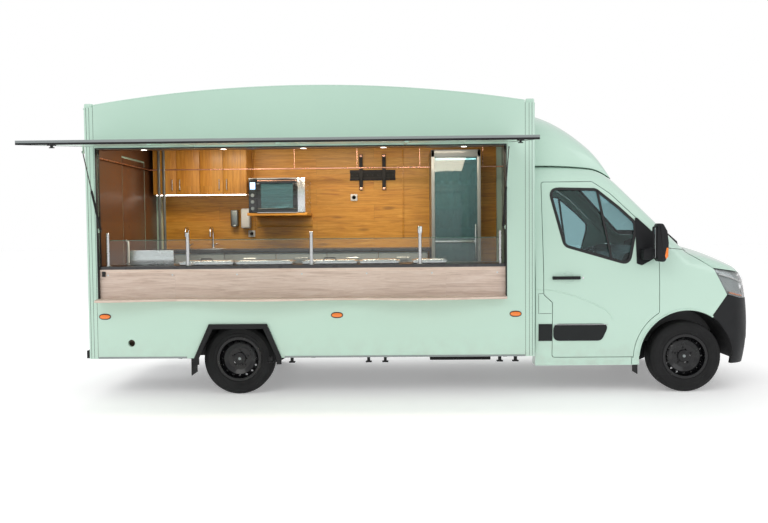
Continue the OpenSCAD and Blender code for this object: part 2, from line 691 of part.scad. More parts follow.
module roof_fascia() placed() color(mint) intersection() {
    block([rear_x + post, -side_y, lintel_top], [front_x - post, -inner_y, fascia_ends + fascia_arch + 1]);
    rod_y((rear_x + front_x) / 2, fascia_ends + fascia_arch - fascia_r, fascia_r, -side_y - 1, -inner_y + 1,
        $fn = 360);
}
module post_solid(x, y, sx, sy) translate([x, y, 0]) intersection() {
    union() {
        block([min(0, sx * post), min(0, sy * post), box_bottom],
            [max(0, sx * post), max(0, sy * post), post_top - 30]);
        block([min(0, sx * post) + 12, min(0, sy * post) + 12, post_top - 31],
            [max(0, sx * post) - 12, max(0, sy * post) - 12, post_top]);
    }
    union() {
        translate([sx * post_round, sy * post_round, box_bottom]) cylinder(r = post_round, h = 3000);
        block([min(sx * post_round, sx * post), min(0, sy * post), box_bottom],
            [max(sx * post_round, sx * post), max(0, sy * post), 3500]);
        block([min(0, sx * post), min(sy * post_round, sy * post), box_bottom],
            [max(0, sx * post), max(sy * post_round, sy * post), 3500]);
    }
}
module corner_posts() placed() color(mint) {
    post_solid(rear_x, -side_y, 1, 1);
    post_solid(rear_x, side_y, 1, -1);
    post_solid(front_x, -side_y, -1, 1);
    post_solid(front_x, side_y, -1, -1);
}
flap_sheet = 5;
module wheel_arches() placed() color(black) mirrored() {
    difference() {
        arch_prism(0, side_y, side_y + flare_proud);
        arch_prism(flare, side_y - 1, side_y + flare_proud + 1);
    }
    // Box over the wheel inside the body
    difference() {
        block([rear_axle_x - arch_box_x, arch_box_y, floor_under], [rear_axle_x + arch_box_x, inner_y, arch_box_top]);
        block([rear_axle_x - arch_box_x + 8, arch_box_y + 8, floor_under - 1],
            [rear_axle_x + arch_box_x - 8, inner_y + 1, arch_box_top - 8]);
    }
    // Mudflap behind the rear wheel, hung from the arch box
    block([rear_axle_x - arch_box_x, 770, 190], [rear_axle_x - arch_box_x + flap_sheet, 990, floor_under]);
    // Liner and mudflap of the front wheel
    difference() {
        intersection() {
            rod_y(0, tyre_radius, arch_r + 5, 560, 975);
            block([-arch_r - 60, 500, 330], [arch_r + 60, 1000, 900]);
        }
        rod_y(0, tyre_radius, arch_r, 559, 976);
    }
    block([-arch_r - 5, 770, 170], [-arch_r, 935, 340]);
}
module rear_bumper() placed() color(black) {
    block([rear_x - bumper_proud, -side_y + 40, box_bottom], [rear_x, side_y - 40, box_bottom + 75]);
}
module lamps() placed() color(amber) {
    // Tail lamp columns, then the oval side markers
    mirrored() block([rear_x - 22, side_y - 230, box_bottom + 110], [rear_x, side_y - 120, box_bottom + 400]);
    mirrored() for (x = [rear_x + 170, (rear_x + front_x) / 2 + 254, front_x - 191])
        hull() for (k = [-1, 1]) translate([x + k * 30, side_y, 785]) rotate([-90, 0, 0])
            cylinder(r = 20, h = 12, $fn = 32);
}
module rear_door() placed() color(mint) {
    door_hinge_leaf(-1);
    block([rear_x, rear_door_y - rear_door_width / 2, floor_top + run_gap],
        [rear_x + wall, rear_door_y + rear_door_width / 2, floor_top + rear_door_height]);
    // Handle
    block([rear_x - 20, rear_door_y - rear_door_width / 2 + 50, floor_top + 820],
        [rear_x, rear_door_y - rear_door_width / 2 + 90, floor_top + 1000]);
}
step_tilt = 5;
step_length = 590;
step_half = 270;
module step_frame() translate([rear_x + 130, rear_door_y, 272]) rotate([0, step_tilt, 0]) children();
module rear_step() placed() color(steel) step_frame() {
    for (s = [-1, 1]) translate([0, s * step_half - 15, -18]) cube([step_length, 30, 36]);
    for (k = [0, 1]) translate([30 + k * 300, 15 - step_half, -12]) cube([230, 2 * step_half - 30, 24]);
}

// ---- Serving flap and its struts ----
module strut_bracket(side) scale([side, 1, 1])
    block([eye_wide / 2 + knuckle_gap, flap_inside, -strut_head - 16],
        [eye_wide / 2 + strut_plate, strut_drop + 13, -strut_head + 16]);
module serving_flap() placed() color(mint)
    translate([0, hinge_y, hinge_z]) rotate([-flap_turn, 0, 0]) {
        block([flap_rear, flap_inside - flap_thick, -flap_foot], [flap_front, flap_inside, -flap_head]);
        for (i = [0 : knuckle_count - 1]) let (x = knuckle_x(i) + knuckle_length + knuckle_gap) {
            rod_x(0, 0, hinge_pin_r, x, x + knuckle_length);
            block([x, -3, -flap_head - 1], [x + knuckle_length, 3, 0]);
        }
        translate([strut_rear_x, 0, 0]) strut_bracket(1);
        translate([strut_front_x, 0, 0]) strut_bracket(-1);
    }
module strut_frame(x) translate([x, strut_foot[0], strut_foot[1]]) rotate([strut_lean, 0, 0]) children();
module strut_barrel(x) placed() color(black) strut_frame(x) difference() {
    union() {
        translate([-eye_wide / 2, 0, 0]) rotate([0, 90, 0]) cylinder(r = eye_r, h = eye_wide);
        translate([0, 0, 8]) cylinder(r = barrel_r, h = barrel_length - 8);
    }
    translate([0, 0, 24]) cylinder(r = rod_r + seat_gap, h = barrel_length);
    translate([-20, 0, 0]) rotate([0, 90, 0]) cylinder(r = strut_bore_r, h = 40);
}
module strut_rod(x) placed() color(steel) strut_frame(x) difference() {
    union() {
        translate([-eye_wide / 2, 0, strut_open]) rotate([0, 90, 0]) cylinder(r = eye_r, h = eye_wide);
        translate([0, 0, strut_open - rod_length]) cylinder(r = rod_r, h = rod_length - 6);
    }
    translate([-20, 0, strut_open]) rotate([0, 90, 0]) cylinder(r = strut_bore_r, h = 40);
}
module strut_barrel_rear() strut_barrel(strut_rear_x);
module strut_barrel_front() strut_barrel(strut_front_x);
module strut_rod_rear() strut_rod(strut_rear_x);
module strut_rod_front() strut_rod(strut_front_x);

// ---- Counter and kitchen ----
board = 20;
top_thick = 28;
counter_in = -inner_y + counter_depth;
module counter() placed() color(dark_steel) {
    block([opening_rear, -inner_y, counter_top - top_thick], [opening_front, counter_in, counter_top]);
    for (i = [0 : 4]) let (x = opening_rear + i * (opening_length - board) / 4)
        block([x, over_arch(x) ? -arch_box_y + 10 : -inner_y + board, floor_top],
            [x + board, counter_in - 60, counter_top - top_thick]);
}
function over_arch(x) = abs(x - rear_axle_x) < arch_box_x + board;
shelf_wave = 45;
shelf_points = 48;
function shelf_edge(s) = -side_y - shelf_reach - shelf_wave * cos(s * 360 * 2.5) ;
module counter_apron() placed() color(oak_pale) {
    block([opening_rear + 2, -inner_y, shelf_top], [opening_front - 2, -inner_y + board, counter_top - top_thick]);
    translate([0, 0, opening_bottom]) linear_extrude(shelf_thick) polygon(concat(
        [[opening_rear + 2, -inner_y + board], [opening_rear + 2, -side_y - 90]],
        [for (i = [0 : shelf_points]) let (s = i / shelf_points)
            [opening_rear + 30 + s * (opening_length - 60), shelf_edge(s)]],
        [[opening_front - 2, -side_y - 90], [opening_front - 2, -inner_y + board]]));
}
guard_r = 16;
guard_y = -inner_y + 70;
function guard_places() = [opening_rear + 60, opening_rear + 836, opening_rear + 2035, opening_rear + 3083,
    opening_front - 40];
module guard_posts() placed() color(steel) for (x = guard_places())
    translate([x, guard_y, counter_top]) cylinder(r = guard_r, h = guard_height);
module guard_glass() placed() color(glass_tint) for (i = [0 : 3]) let (a = guard_places()[i], b = guard_places()[i + 1])
    block([a + guard_r + seat_gap, guard_y - 3, counter_top + 15], [b - guard_r - seat_gap, guard_y + 3,
        counter_top + guard_height * 0.8]);
spot_r = 34;
module light_strip() placed() color(oak_warm) {
    difference() {
        block([opening_rear, -inner_y, opening_top], [opening_front, -inner_y + 150, opening_top + board]);
        for (i = [0 : 4]) translate([opening_rear + 430 + i * 770, -inner_y + 75, opening_top - 1])
            cylinder(r = spot_r, h = board + 2);
    }
}
cupboard_low = 2030;
module wall_cupboards() placed() color(oak_warm)
    block([rear_x + post + seat_gap, inner_y - cupboard_depth, cupboard_low],
        [rear_x + post + seat_gap + cupboard_length, inner_y, roof_under]);
oven_x = -4480;
oven_low = 1800;
oven_depth = 600;
module combi_oven() placed() color(steel) difference() {
    union() {
        block([oven_x, inner_y - oven_depth, oven_low], [oven_x + oven_width, inner_y, oven_low + oven_height]);
        block([oven_x - 20, inner_y - oven_depth, oven_low - board], [oven_x + oven_width + 20, inner_y, oven_low]);
    }
    // Cooking chamber behind the door
    block([oven_x + 130, inner_y - oven_depth - 1, oven_low + 50],
        [oven_x + oven_width - 60, inner_y - 60, oven_low + oven_height - 50]);
}
fridge_x = -2380;
fridge_depth = 600;
fridge_height = 2020;
module fridge() placed() color(steel) difference() {
    block([fridge_x, inner_y - fridge_depth, floor_top], [fridge_x + fridge_width, inner_y, floor_top + fridge_height]);
    block([fridge_x + 35, inner_y - fridge_depth - 1, floor_top + 120],
        [fridge_x + fridge_width - 35, inner_y - 50, floor_top + fridge_height - 80]);
}
pane = 6;
module appliance_glass() placed() color(glass_tint) {
    block([oven_x + 130 + seat_gap, inner_y - oven_depth, oven_low + 50 + seat_gap],
        [oven_x + oven_width - 60 - seat_gap, inner_y - oven_depth + pane, oven_low + oven_height - 50 - seat_gap]);
    block([fridge_x + 35 + seat_gap, inner_y - fridge_depth, floor_top + 120 + seat_gap],
        [fridge_x + fridge_width - 35 - seat_gap, inner_y - fridge_depth + pane,
            floor_top + fridge_height - 80 - seat_gap]);
}
back_top = 1380;
back_depth = 460;
sink_x = -5030;
tap_r = 11;
module sink_room(grow, low) block([sink_x - 180 - grow, inner_y - 380 - grow, low],
    [sink_x + 180 + grow, inner_y - 90 + grow, back_top + 1]);
module back_counter() placed() color(dark_steel) {
    difference() {
        block([rear_x + wall, inner_y - back_depth, back_top - 40], [fridge_x - 10, inner_y, back_top]);
        sink_room(0, back_top - 41);
        post_squares();
    }
    // Basin
    difference() {
        sink_room(4, back_top - 190);
        sink_room(0, back_top - 186);
        block([sink_x - 200, inner_y - 400, back_top - 20], [sink_x + 200, inner_y, back_top + 2]);
    }
    for (x = [sink_x - 300, sink_x]) {
        translate([x, inner_y - 50, back_top]) cylinder(r = tap_r, h = 260);
        translate([x, inner_y - 50, back_top + 260]) sphere(r = tap_r);
        rod_y(x, back_top + 260, tap_r, inner_y - 200, inner_y - 50);
        translate([x, inner_y - 200, back_top + 230]) cylinder(r = tap_r, h = 30);
        translate([x, inner_y - 200, back_top + 260]) sphere(r = tap_r);
    }
    // Carcass panels down to the floor
    for (x = [rear_x + post + 10, sink_x - 220, sink_x + 220, -3600, fridge_x - 30])
        block([x, inner_y - back_depth + 20, floor_top],
            [x + board, over_arch(x) ? arch_box_y - 10 : inner_y, back_top - 40]);
}
module monitor_bracket() placed() color(black) {
    for (x = [-3210, -2930]) block([x - 20, inner_y - 30, 2080], [x + 20, inner_y - 12, 2510]);
    block([-3345, inner_y - 12, 2200], [-2793, inner_y, 2320]);
}

// ---- Front knuckles and wheels ----
module knuckle(side) placed() color(dark_steel) translate([0, side * king_y, tyre_radius]) {
    translate([0, 0, king_low - tyre_radius]) cylinder(r = king_r, h = king_high - king_low);
    rotate([-90, 0, 0]) cylinder(r = 40, h = 2 * king_inset, center = true);
    rotate([-90 * side, 0, 0]) cylinder(r = hub_bore - seat_gap, h = king_inset + 42);
}
module knuckle_right() knuckle(-1);
module knuckle_left() knuckle(1);
// A wheel is turned about Y with its outer face towards +Y, and mirrored for the right side
half_tyre = tyre_width / 2;
half_rim = rim_width / 2;
module tyre() rotate([-90, 0, 0]) rotate_extrude($fn = 96) polygon([
    [rim_radius + seat_gap, -half_rim + 8], [rim_radius + seat_gap, half_rim - 8],
    [rim_radius + 14, half_rim - 6], [rim_radius + 15, half_rim - 6],
    [rim_radius + 24, half_rim + 6], [rim_radius + 60, half_tyre - 2], [tyre_radius - 55, half_tyre],
    [tyre_radius - 18, half_tyre - 12], [tyre_radius - 5, half_tyre - 28], [tyre_radius, half_tyre - 48],
    [tyre_radius, -half_tyre + 48], [tyre_radius - 5, -half_tyre + 28], [tyre_radius - 18, -half_tyre + 12],
    [tyre_radius - 55, -half_tyre], [rim_radius + 60, -half_tyre + 2], [rim_radius + 24, -half_rim - 6],
    [rim_radius + 15, -half_rim + 6], [rim_radius + 14, -half_rim + 6]]);
disc_in = 18;
module rim() rotate([-90, 0, 0]) difference() {
    union() {
        rotate_extrude($fn = 96) polygon([
            [rim_radius - 12, -half_rim], [rim_radius + 14, -half_rim], [rim_radius + 14, -half_rim + 5],
            [rim_radius, -half_rim + 7], [rim_radius, half_rim - 7], [rim_radius + 14, half_rim - 5],
            [rim_radius + 14, half_rim], [rim_radius - 12, half_rim]]);
        rotate_extrude($fn = 96) polygon([
            [hub_bore, 20], [hub_bore, 42], [110, 42], [150, 62], [rim_radius - 11, 40],
            [rim_radius - 11, 22], [146, 44], [112, 20]]);
    }
    for (i = [0 : 15]) rotate([0, 0, i * 22.5]) translate([168, 0, 10]) cylinder(r = 11, h = 80, $fn = 24);
    for (i = [0 : 4]) rotate([0, 0, i * 72]) translate([stud_circle, 0, 10]) cylinder(r = 8, h = 40, $fn = 24);
}
module at_wheel(x, track, side) placed() translate([x, side * track / 2, tyre_radius])
    if (side < 0) mirror([0, 1, 0]) children(); else children();
module front_tyre_right() color(black) at_wheel(0, track_front, -1) tyre();
module front_rim_right() color(dark_steel) at_wheel(0, track_front, -1) rim();
module front_tyre_left() color(black) at_wheel(0, track_front, 1) tyre();
module front_rim_left() color(dark_steel) at_wheel(0, track_front, 1) rim();
module rear_tyre_right() color(black) at_wheel(rear_axle_x, track_rear, -1) tyre();
module rear_rim_right() color(dark_steel) at_wheel(rear_axle_x, track_rear, -1) rim();
module rear_tyre_left() color(black) at_wheel(rear_axle_x, track_rear, 1) tyre();
module rear_rim_left() color(dark_steel) at_wheel(rear_axle_x, track_rear, 1) rim();

chassis_rails();
crossmembers();
rear_axle();
engine();
fuel_tank();
cab_body();
front_wings();
bonnet();
front_bumper();
headlights();
windscreen();
roof_deflector();
dashboard();
steering_wheel();
cab_seats();
door_right();
door_left();
door_glass_right();
door_glass_left();
mirror_right();
mirror_left();
box_floor();
box_front_wall();
box_rear_wall();
box_left_wall();
box_serving_wall();
box_roof();
roof_fascia();
corner_posts();
wheel_arches();
rear_bumper();
lamps();
rear_door();
rear_step();
serving_flap();
strut_barrel_rear();
strut_barrel_front();
strut_rod_rear();
strut_rod_front();
counter();
counter_apron();
guard_posts();
guard_glass();
light_strip();
wall_cupboards();
combi_oven();
fridge();
appliance_glass();
back_counter();
monitor_bracket();
knuckle_right();
knuckle_left();
front_tyre_right();
front_rim_right();
front_tyre_left();
front_rim_left();
rear_tyre_right();
rear_rim_right();
rear_tyre_left();
rear_rim_left();
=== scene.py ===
"""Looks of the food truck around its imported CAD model. Lengths in the shape code are
millimetres counted from the front axle, the centre line and the ground; row() moves them
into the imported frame, in metres."""

import math

import bpy
import bmesh
import numpy as np
from mathutils import Matrix, Vector


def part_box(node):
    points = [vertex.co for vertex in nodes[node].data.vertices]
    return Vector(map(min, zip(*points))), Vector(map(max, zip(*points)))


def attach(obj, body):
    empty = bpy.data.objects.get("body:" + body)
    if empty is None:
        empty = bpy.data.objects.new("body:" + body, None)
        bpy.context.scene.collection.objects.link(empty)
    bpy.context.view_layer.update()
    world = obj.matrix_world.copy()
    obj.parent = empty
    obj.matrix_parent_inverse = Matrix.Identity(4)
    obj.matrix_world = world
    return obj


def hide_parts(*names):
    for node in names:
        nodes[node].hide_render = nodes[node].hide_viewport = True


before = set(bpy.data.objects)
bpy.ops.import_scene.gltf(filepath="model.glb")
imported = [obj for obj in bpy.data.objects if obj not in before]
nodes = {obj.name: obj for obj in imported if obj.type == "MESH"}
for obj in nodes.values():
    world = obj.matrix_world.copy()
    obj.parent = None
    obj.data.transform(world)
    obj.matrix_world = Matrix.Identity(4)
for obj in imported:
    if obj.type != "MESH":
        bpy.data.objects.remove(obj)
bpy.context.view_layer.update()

# ---- Places that the CAD model fixes ----
SIDE, FRONT, LENGTH = 1100.0, -1465.0, 4290.0
REAR = FRONT - LENGTH
SHIFT = Vector((FRONT / 1000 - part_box("box_front_wall")[1].x, SIDE / 1000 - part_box("box_left_wall")[1].y, 0))
INNER = SIDE - 35
OPEN_FRONT, OPEN_REAR = FRONT - 279, FRONT - 279 - 3896
OPEN_LOW, OPEN_HIGH = 937.0, 2385.0
COUNTER, FLOOR, LINING_TOP = 1262.0, 480.0, 2655.0
FLAP_HINGE = (-1115.0, 2415.0)
FLAP_TURN = math.radians(84.6)
FLAP_FOOT = 1448.0
HUB = 343.0
REAR_AXLE = -4332.0
BELT, NOSE, NOSE_HEIGHT, CAB_TOP, GLASS_BASE = 1035.0, 869.0, 620.0, 2250.0, 1615.0
CAB_REAR, CAB_LOW, CAB_WALL, SHUT = -1453.0, 270.0, 55.0, 6.0


def row(points):
    """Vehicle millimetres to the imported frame's metres."""
    p = np.asarray(points, float).reshape(-1, 3) / 1000
    return p - np.array(SHIFT)


# ---- Materials ----
class Shader:
    """A Principled material with the few nodes that the looks here need."""

    def __init__(self, name, color=(0.5, 0.5, 0.5), rough=0.5, **sockets):
        self.mat = bpy.data.materials.new(name)
        self.mat.use_nodes = True
        self.mat.diffuse_color = (*color[:3], 1)
        self.tree = self.mat.node_tree
        self.bsdf = self.tree.nodes["Principled BSDF"]
        self.color, self.rough = color, rough
        self.bsdf.inputs["Base Color"].default_value = (*color[:3], 1)
        self.bsdf.inputs["Roughness"].default_value = rough
        for key, value in sockets.items():
            self.bsdf.inputs[key.replace("_", " ")].default_value = value
        self.coords = self.tree.nodes.new("ShaderNodeTexCoord").outputs["Object"]

    def node(self, kind, **values):
        made = self.tree.nodes.new(kind)
        for key, value in values.items():
            if key in made.inputs:
                socket = made.inputs[key]
                if isinstance(value, bpy.types.NodeSocket):
                    self.tree.links.new(value, socket)
                else:
                    socket.default_value = value
            else:
                setattr(made, key, value)
        return made

    def stretched(self, scale, turn=(0, 0, 0)):
        return self.node("ShaderNodeMapping", Vector=self.coords, Scale=scale, Rotation=turn).outputs[0]

    def noise(self, scale, detail=4.0, vector=None, rough=0.5, distortion=0.0):
        return self.node("ShaderNodeTexNoise", Vector=vector or self.coords, Scale=scale, Detail=detail,
                         Roughness=rough, Distortion=distortion).outputs["Fac"]

    def ramp(self, fac, stops):
        made = self.node("ShaderNodeValToRGB", Fac=fac)
        while len(made.color_ramp.elements) < len(stops):
            made.color_ramp.elements.new(0.5)
        for element, (at, color) in zip(made.color_ramp.elements, stops):
            element.position = at
            element.color = (*color[:3], 1) if hasattr(color, "__len__") else (color, color, color, 1)
        return made.outputs["Color"]

    def mixed(self, fac, a, b, blend="MIX"):
        made = self.tree.nodes.new("ShaderNodeMix")
        made.data_type, made.blend_type = "RGBA", blend
        for socket, value in ((made.inputs[0], fac), (made.inputs[6], a), (made.inputs[7], b)):
            if isinstance(value, bpy.types.NodeSocket):
                self.tree.links.new(value, socket)
            else:
                socket.default_value = (*value[:3], 1) if hasattr(value, "__len__") else value
        return made.outputs[2]

    def math(self, operation, a, b=0.0):
        made = self.node("ShaderNodeMath", operation=operation)
        for socket, value in zip(made.inputs, (a, b)):
            if isinstance(value, bpy.types.NodeSocket):
                self.tree.links.new(value, socket)
            else:
                socket.default_value = value
        return made.outputs[0]

    def use(self, socket, value):
        self.tree.links.new(value, self.bsdf.inputs[socket])
        return self

    def vary_rough(self, fac, low, high):
        return self.use("Roughness", self.ramp(fac, [(0.3, low), (0.7, high)]))

    def bump(self, height, strength=0.2, distance=0.001):
        made = self.node("ShaderNodeBump", Height=height, Strength=strength, Distance=distance)
        return self.use("Normal", made.outputs["Normal"])

    def height_of(self):
        return self.node("ShaderNodeSeparateXYZ", Vector=self.coords).outputs["Z"]


def tinted(color, k):
    return tuple(min(1.0, c * k) for c in color)


def make_paint(name, color, peel, coat):
    s = Shader(name, color, 0.34, Coat_Weight=coat, Coat_Roughness=0.08, Specular_IOR_Level=0.5)
    broad = s.noise(1.3, 3)
    base = s.mixed(broad, tinted(color, 0.965), tinted(color, 1.03))
    # Road dust towards the ground
    low = s.ramp(s.height_of(), [(0.25, 1.0), (0.62, 0.0)])
    dust = s.math("MULTIPLY", low, s.ramp(s.noise(9, 6), [(0.35, 0.0), (0.8, 0.5)]))
    s.use("Base Color", s.mixed(dust, base, (0.42, 0.44, 0.39)))
    s.vary_rough(s.noise(5, 4), 0.28, 0.40)
    return s.bump(s.noise(peel, 2), 0.05, 0.0006).mat


def make_plain(name, color, rough, grain=400, strength=0.25, spread=0.12, **sockets):
    s = Shader(name, color, rough, **sockets)
    s.use("Base Color", s.mixed(s.noise(6, 5), tinted(color, 1 - spread), tinted(color, 1 + spread)))
    s.vary_rough(s.noise(11, 4), max(rough - 0.07, 0.02), min(rough + 0.07, 1))
    return s.bump(s.noise(grain, 3), strength, 0.0008).mat


def make_metal(name, color, rough, along, strength=0.12):
    s = Shader(name, color, rough, Metallic=1.0)
    lines = s.noise(1.0, 5, s.stretched(along), 0.6)
    s.use("Base Color", s.mixed(lines, tinted(color, 0.86), tinted(color, 1.08)))
    s.vary_rough(lines, rough * 0.75, min(rough * 1.35, 1))
    return s.bump(lines, strength, 0.0004).mat


def make_glass(name, color, rough=0.02, weight=1.0, ior=1.45, **sockets):
    s = Shader(name, color, rough, Transmission_Weight=weight, IOR=ior, **sockets)
    s.use("Base Color", s.mixed(s.noise(2.2, 3), tinted(color, 0.96), tinted(color, 1.03)))
    s.vary_rough(s.noise(14, 5), rough, rough + 0.02)
    return s.mat


def make_wood(name, dark, middle, pale, board, length, rough=0.42, seam=0.5, knots=True, upright=False):
    """Boards lying along X, seen in the X-Z plane; board is a board's height in metres."""
    s = Shader(name, middle, rough, Coat_Weight=0.25, Coat_Roughness=0.25)
    if upright:
        turned = s.node("ShaderNodeMapping", Vector=s.coords)
        turned.inputs["Rotation"].default_value = (0, math.pi / 2, 0)
        s.coords = turned.outputs[0]
    xyz = s.node("ShaderNodeSeparateXYZ", Vector=s.coords)
    depth = s.math("MULTIPLY", xyz.outputs["Y"], 0.35)
    along = s.math("ADD", xyz.outputs["X"], depth)
    flat = s.node("ShaderNodeCombineXYZ", X=along, Y=xyz.outputs["Z"], Z=0.0).outputs[0]
    brick = s.node("ShaderNodeTexBrick", Vector=flat, Scale=1.0)
    brick.inputs["Brick Width"].default_value = length
    brick.inputs["Row Height"].default_value = board
    brick.inputs["Mortar Size"].default_value = 0.0011
    brick.inputs["Color1"].default_value = (0.18, 0.18, 0.18, 1)
    brick.inputs["Color2"].default_value = (0.86, 0.86, 0.86, 1)
    brick.offset, brick.offset_frequency = 0.37, 2
    board_tone = brick.outputs["Color"]
    moved = s.node("ShaderNodeVectorMath", operation="ADD")
    s.tree.links.new(s.stretched((1.1, 9.0, 16.0)), moved.inputs[0])
    s.tree.links.new(s.mixed(1.0, (0, 0, 0), board_tone), moved.inputs[1])
    grain = s.noise(2.2, 8, moved.outputs[0], 0.62, 1.1)
    fine = s.noise(14.0, 6, s.stretched((1.5, 30.0, 42.0)), 0.7)
    tone = s.ramp(grain, [(0.28, dark), (0.5, middle), (0.72, pale)])
    tone = s.mixed(s.math("MULTIPLY", s.ramp(fine, [(0.35, 0.0), (0.75, 1.0)]), 0.38), tone, tinted(dark, 0.8))
    tone = s.mixed(s.math("MULTIPLY", board_tone, 0.42), tone, tinted(pale, 1.12), "SOFT_LIGHT")
    if knots:
        spots = s.node("ShaderNodeTexVoronoi", Vector=s.stretched((1.1, 3.0, 4.2)), Scale=1.0)
        ring = s.ramp(spots.outputs["Distance"], [(0.0, 1.0), (0.055, 0.75), (0.11, 0.0)])
        tone = s.mixed(s.math("MULTIPLY", ring, 0.7), tone, tinted(dark, 0.45))
    tone = s.mixed(s.math("MULTIPLY", brick.outputs["Fac"], seam), tone, tinted(dark, 0.35))
    s.use("Base Color", tone).vary_rough(grain, rough - 0.06, rough + 0.1)
    return s.bump(fine, 0.18, 0.0007).mat


def make_weave(name, color):
    s = Shader(name, color, 0.85, Sheen_Weight=0.35)
    a = s.node("ShaderNodeTexWave", Vector=s.coords, Scale=190.0, bands_direction="X").outputs["Fac"]
    b = s.node("ShaderNodeTexWave", Vector=s.coords, Scale=190.0, bands_direction="Z").outputs["Fac"]
    weave = s.math("MULTIPLY", a, b)
    s.use("Base Color", s.mixed(weave, tinted(color, 0.6), tinted(color, 1.7)))
    return s.bump(weave, 0.5, 0.001).mat


def make_lamp(name, color, strength):
    s = Shader(name, color, 0.3)
    s.bsdf.inputs["Emission Color"].default_value = (*color, 1)
    s.bsdf.inputs["Emission Strength"].default_value = strength
    s.use("Base Color", s.mixed(s.noise(40, 2), tinted(color, 0.9), color))
    return s.mat


MINT = (0.515, 0.705, 0.600)
M = {
    "body": make_paint("body_paint", MINT, 260, 0.7),
    "panel": make_paint("panel_gelcoat", tinted(MINT, 0.985), 90, 0.35),
    "frame": make_plain("chassis_black", (0.007, 0.007, 0.008), 0.5, 120, 0.2, Specular_IOR_Level=0.3),
    "plastic": make_plain("grained_plastic", (0.006, 0.0065, 0.008), 0.5, 900, 0.35, Specular_IOR_Level=0.3),
    "trim": make_plain("dark_trim", (0.007, 0.009, 0.010), 0.42, 600, 0.2, Specular_IOR_Level=0.3),
    "rubber": make_plain("seal_rubber", (0.012, 0.012, 0.013), 0.62, 300, 0.2),
    "tyre": make_plain("tyre_rubber", (0.0085, 0.0085, 0.009), 0.72, 700, 0.4, 0.25, Specular_IOR_Level=0.3),
    "wheel": make_plain("wheel_lacquer", (0.004, 0.004, 0.005), 0.3, 60, 0.06, Coat_Weight=0.3,
        Specular_IOR_Level=0.3),
    "engine": make_plain("cast_grey", (0.16, 0.16, 0.165), 0.6, 160, 0.4),
    "steel": make_metal("brushed_steel", (0.66, 0.67, 0.68), 0.28, (3.0, 160.0, 160.0)),
    "pan": make_metal("satin_steel", (0.74, 0.75, 0.76), 0.22, (90.0, 4.0, 90.0)),
    "alu": make_metal("profile_aluminium", (0.30, 0.33, 0.33), 0.38, (2.0, 60.0, 60.0)),
    "chrome": make_metal("bright_trim", (0.82, 0.83, 0.84), 0.10, (8.0, 8.0, 8.0), 0.02),
    "copper": make_metal("copper_rail", (0.80, 0.45, 0.33), 0.26, (4.0, 70.0, 70.0)),
    "glass": make_glass("clear_glass", (0.93, 0.97, 0.96)),
    "cab_glass": make_glass("tinted_glass", (0.50, 0.68, 0.70), 0.02),
    "lens": make_glass("lamp_glass", (0.96, 0.97, 0.98), 0.01, 0.97),
    "amber": make_plain("amber_lens", (0.88, 0.20, 0.012), 0.16, 90, 0.1, 0.1, Coat_Weight=0.8),
    "red": make_plain("red_lens", (0.50, 0.012, 0.012), 0.16, 90, 0.1, 0.1, Coat_Weight=0.8),
    "mirror": make_metal("mirror_silver", (0.86, 0.88, 0.90), 0.03, (2, 2, 2), 0.0),
    "floor": make_plain("floor_sheet", (0.15, 0.155, 0.16), 0.6, 240, 0.5),
    "white": make_plain("inner_white", (0.70, 0.71, 0.70), 0.45, 80, 0.08, 0.04),
    "inner_grey": make_plain("inner_grey", (0.19, 0.21, 0.215), 0.35, 80, 0.08, 0.08, Coat_Weight=0.4),
    "oak": make_wood("oak_warm", (0.36, 0.150, 0.018), (0.58, 0.285, 0.034), (0.72, 0.395, 0.075), 0.19, 1.9),
    "walnut": make_wood("oak_dark", (0.055, 0.020, 0.008), (0.115, 0.044, 0.015), (0.18, 0.075, 0.026), 0.34, 1.2,
        seam=0.2),
    "pale": make_wood("oak_pale", (0.50, 0.365, 0.300), (0.70, 0.555, 0.475), (0.80, 0.675, 0.600), 0.30, 2.6, 0.5,
        0.12),
    "worktop": make_plain("dark_worktop", (0.035, 0.035, 0.038), 0.3, 500, 0.15, 0.3, Coat_Weight=0.2),
    "fabric": make_weave("seat_fabric", (0.030, 0.031, 0.034)),
    "led": make_lamp("warm_light", (1.0, 0.93, 0.82), 6.0),
    "cupboard": make_wood("oak_upright", (0.33, 0.135, 0.018), (0.53, 0.250, 0.034), (0.66, 0.350, 0.070), 0.5, 2.6,
        seam=0.1, upright=True),
    "teal_glass": make_glass("teal_glass", (0.16, 0.33, 0.38), 0.03, 0.75),
    "led_blue": make_lamp("display_light", (0.35, 0.6, 1.0), 1.5),
    "green_edge": make_plain("glass_edge", (0.03, 0.12, 0.09), 0.12, 80, 0.05, Coat_Weight=0.5),
    "bottle": make_glass("bottle_glass", (0.20, 0.42, 0.20), 0.03, 0.8),
    "ground": make_plain("studio_floor", (0.9, 0.9, 0.9), 0.6, 30, 0.03, 0.01),
    "plate": make_plain("blank_plate", (0.62, 0.62, 0.58), 0.4, 50, 0.05, 0.03),
    "dark": make_plain("oven_black", (0.008, 0.009, 0.010), 0.16, 50, 0.03, Coat_Weight=0.6),
}


# ---- Mesh helpers, all in vehicle millimetres ----
def piece(name, verts, faces, look, body="truck", sharp=35, replaces=()):
    """One named object from points and faces, with its look and body."""
    mesh = bpy.data.meshes.new(name)
    mesh.from_pydata(row(verts).tolist(), [], [tuple(int(i) for i in f) for f in faces])
    return dressed(name, mesh, look, body, sharp, replaces)


def dressed(name, mesh, look, body, sharp=35, replaces=()):
    if sharp is not None:
        mesh.shade_smooth()
        mesh.set_sharp_from_angle(angle=math.radians(sharp))
    mesh.materials.clear()
    mesh.materials.append(M[look])
    obj = bpy.data.objects.new(name, mesh)
    bpy.context.scene.collection.objects.link(obj)
    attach(obj, body)
    if replaces:
        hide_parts(*replaces)
    return obj


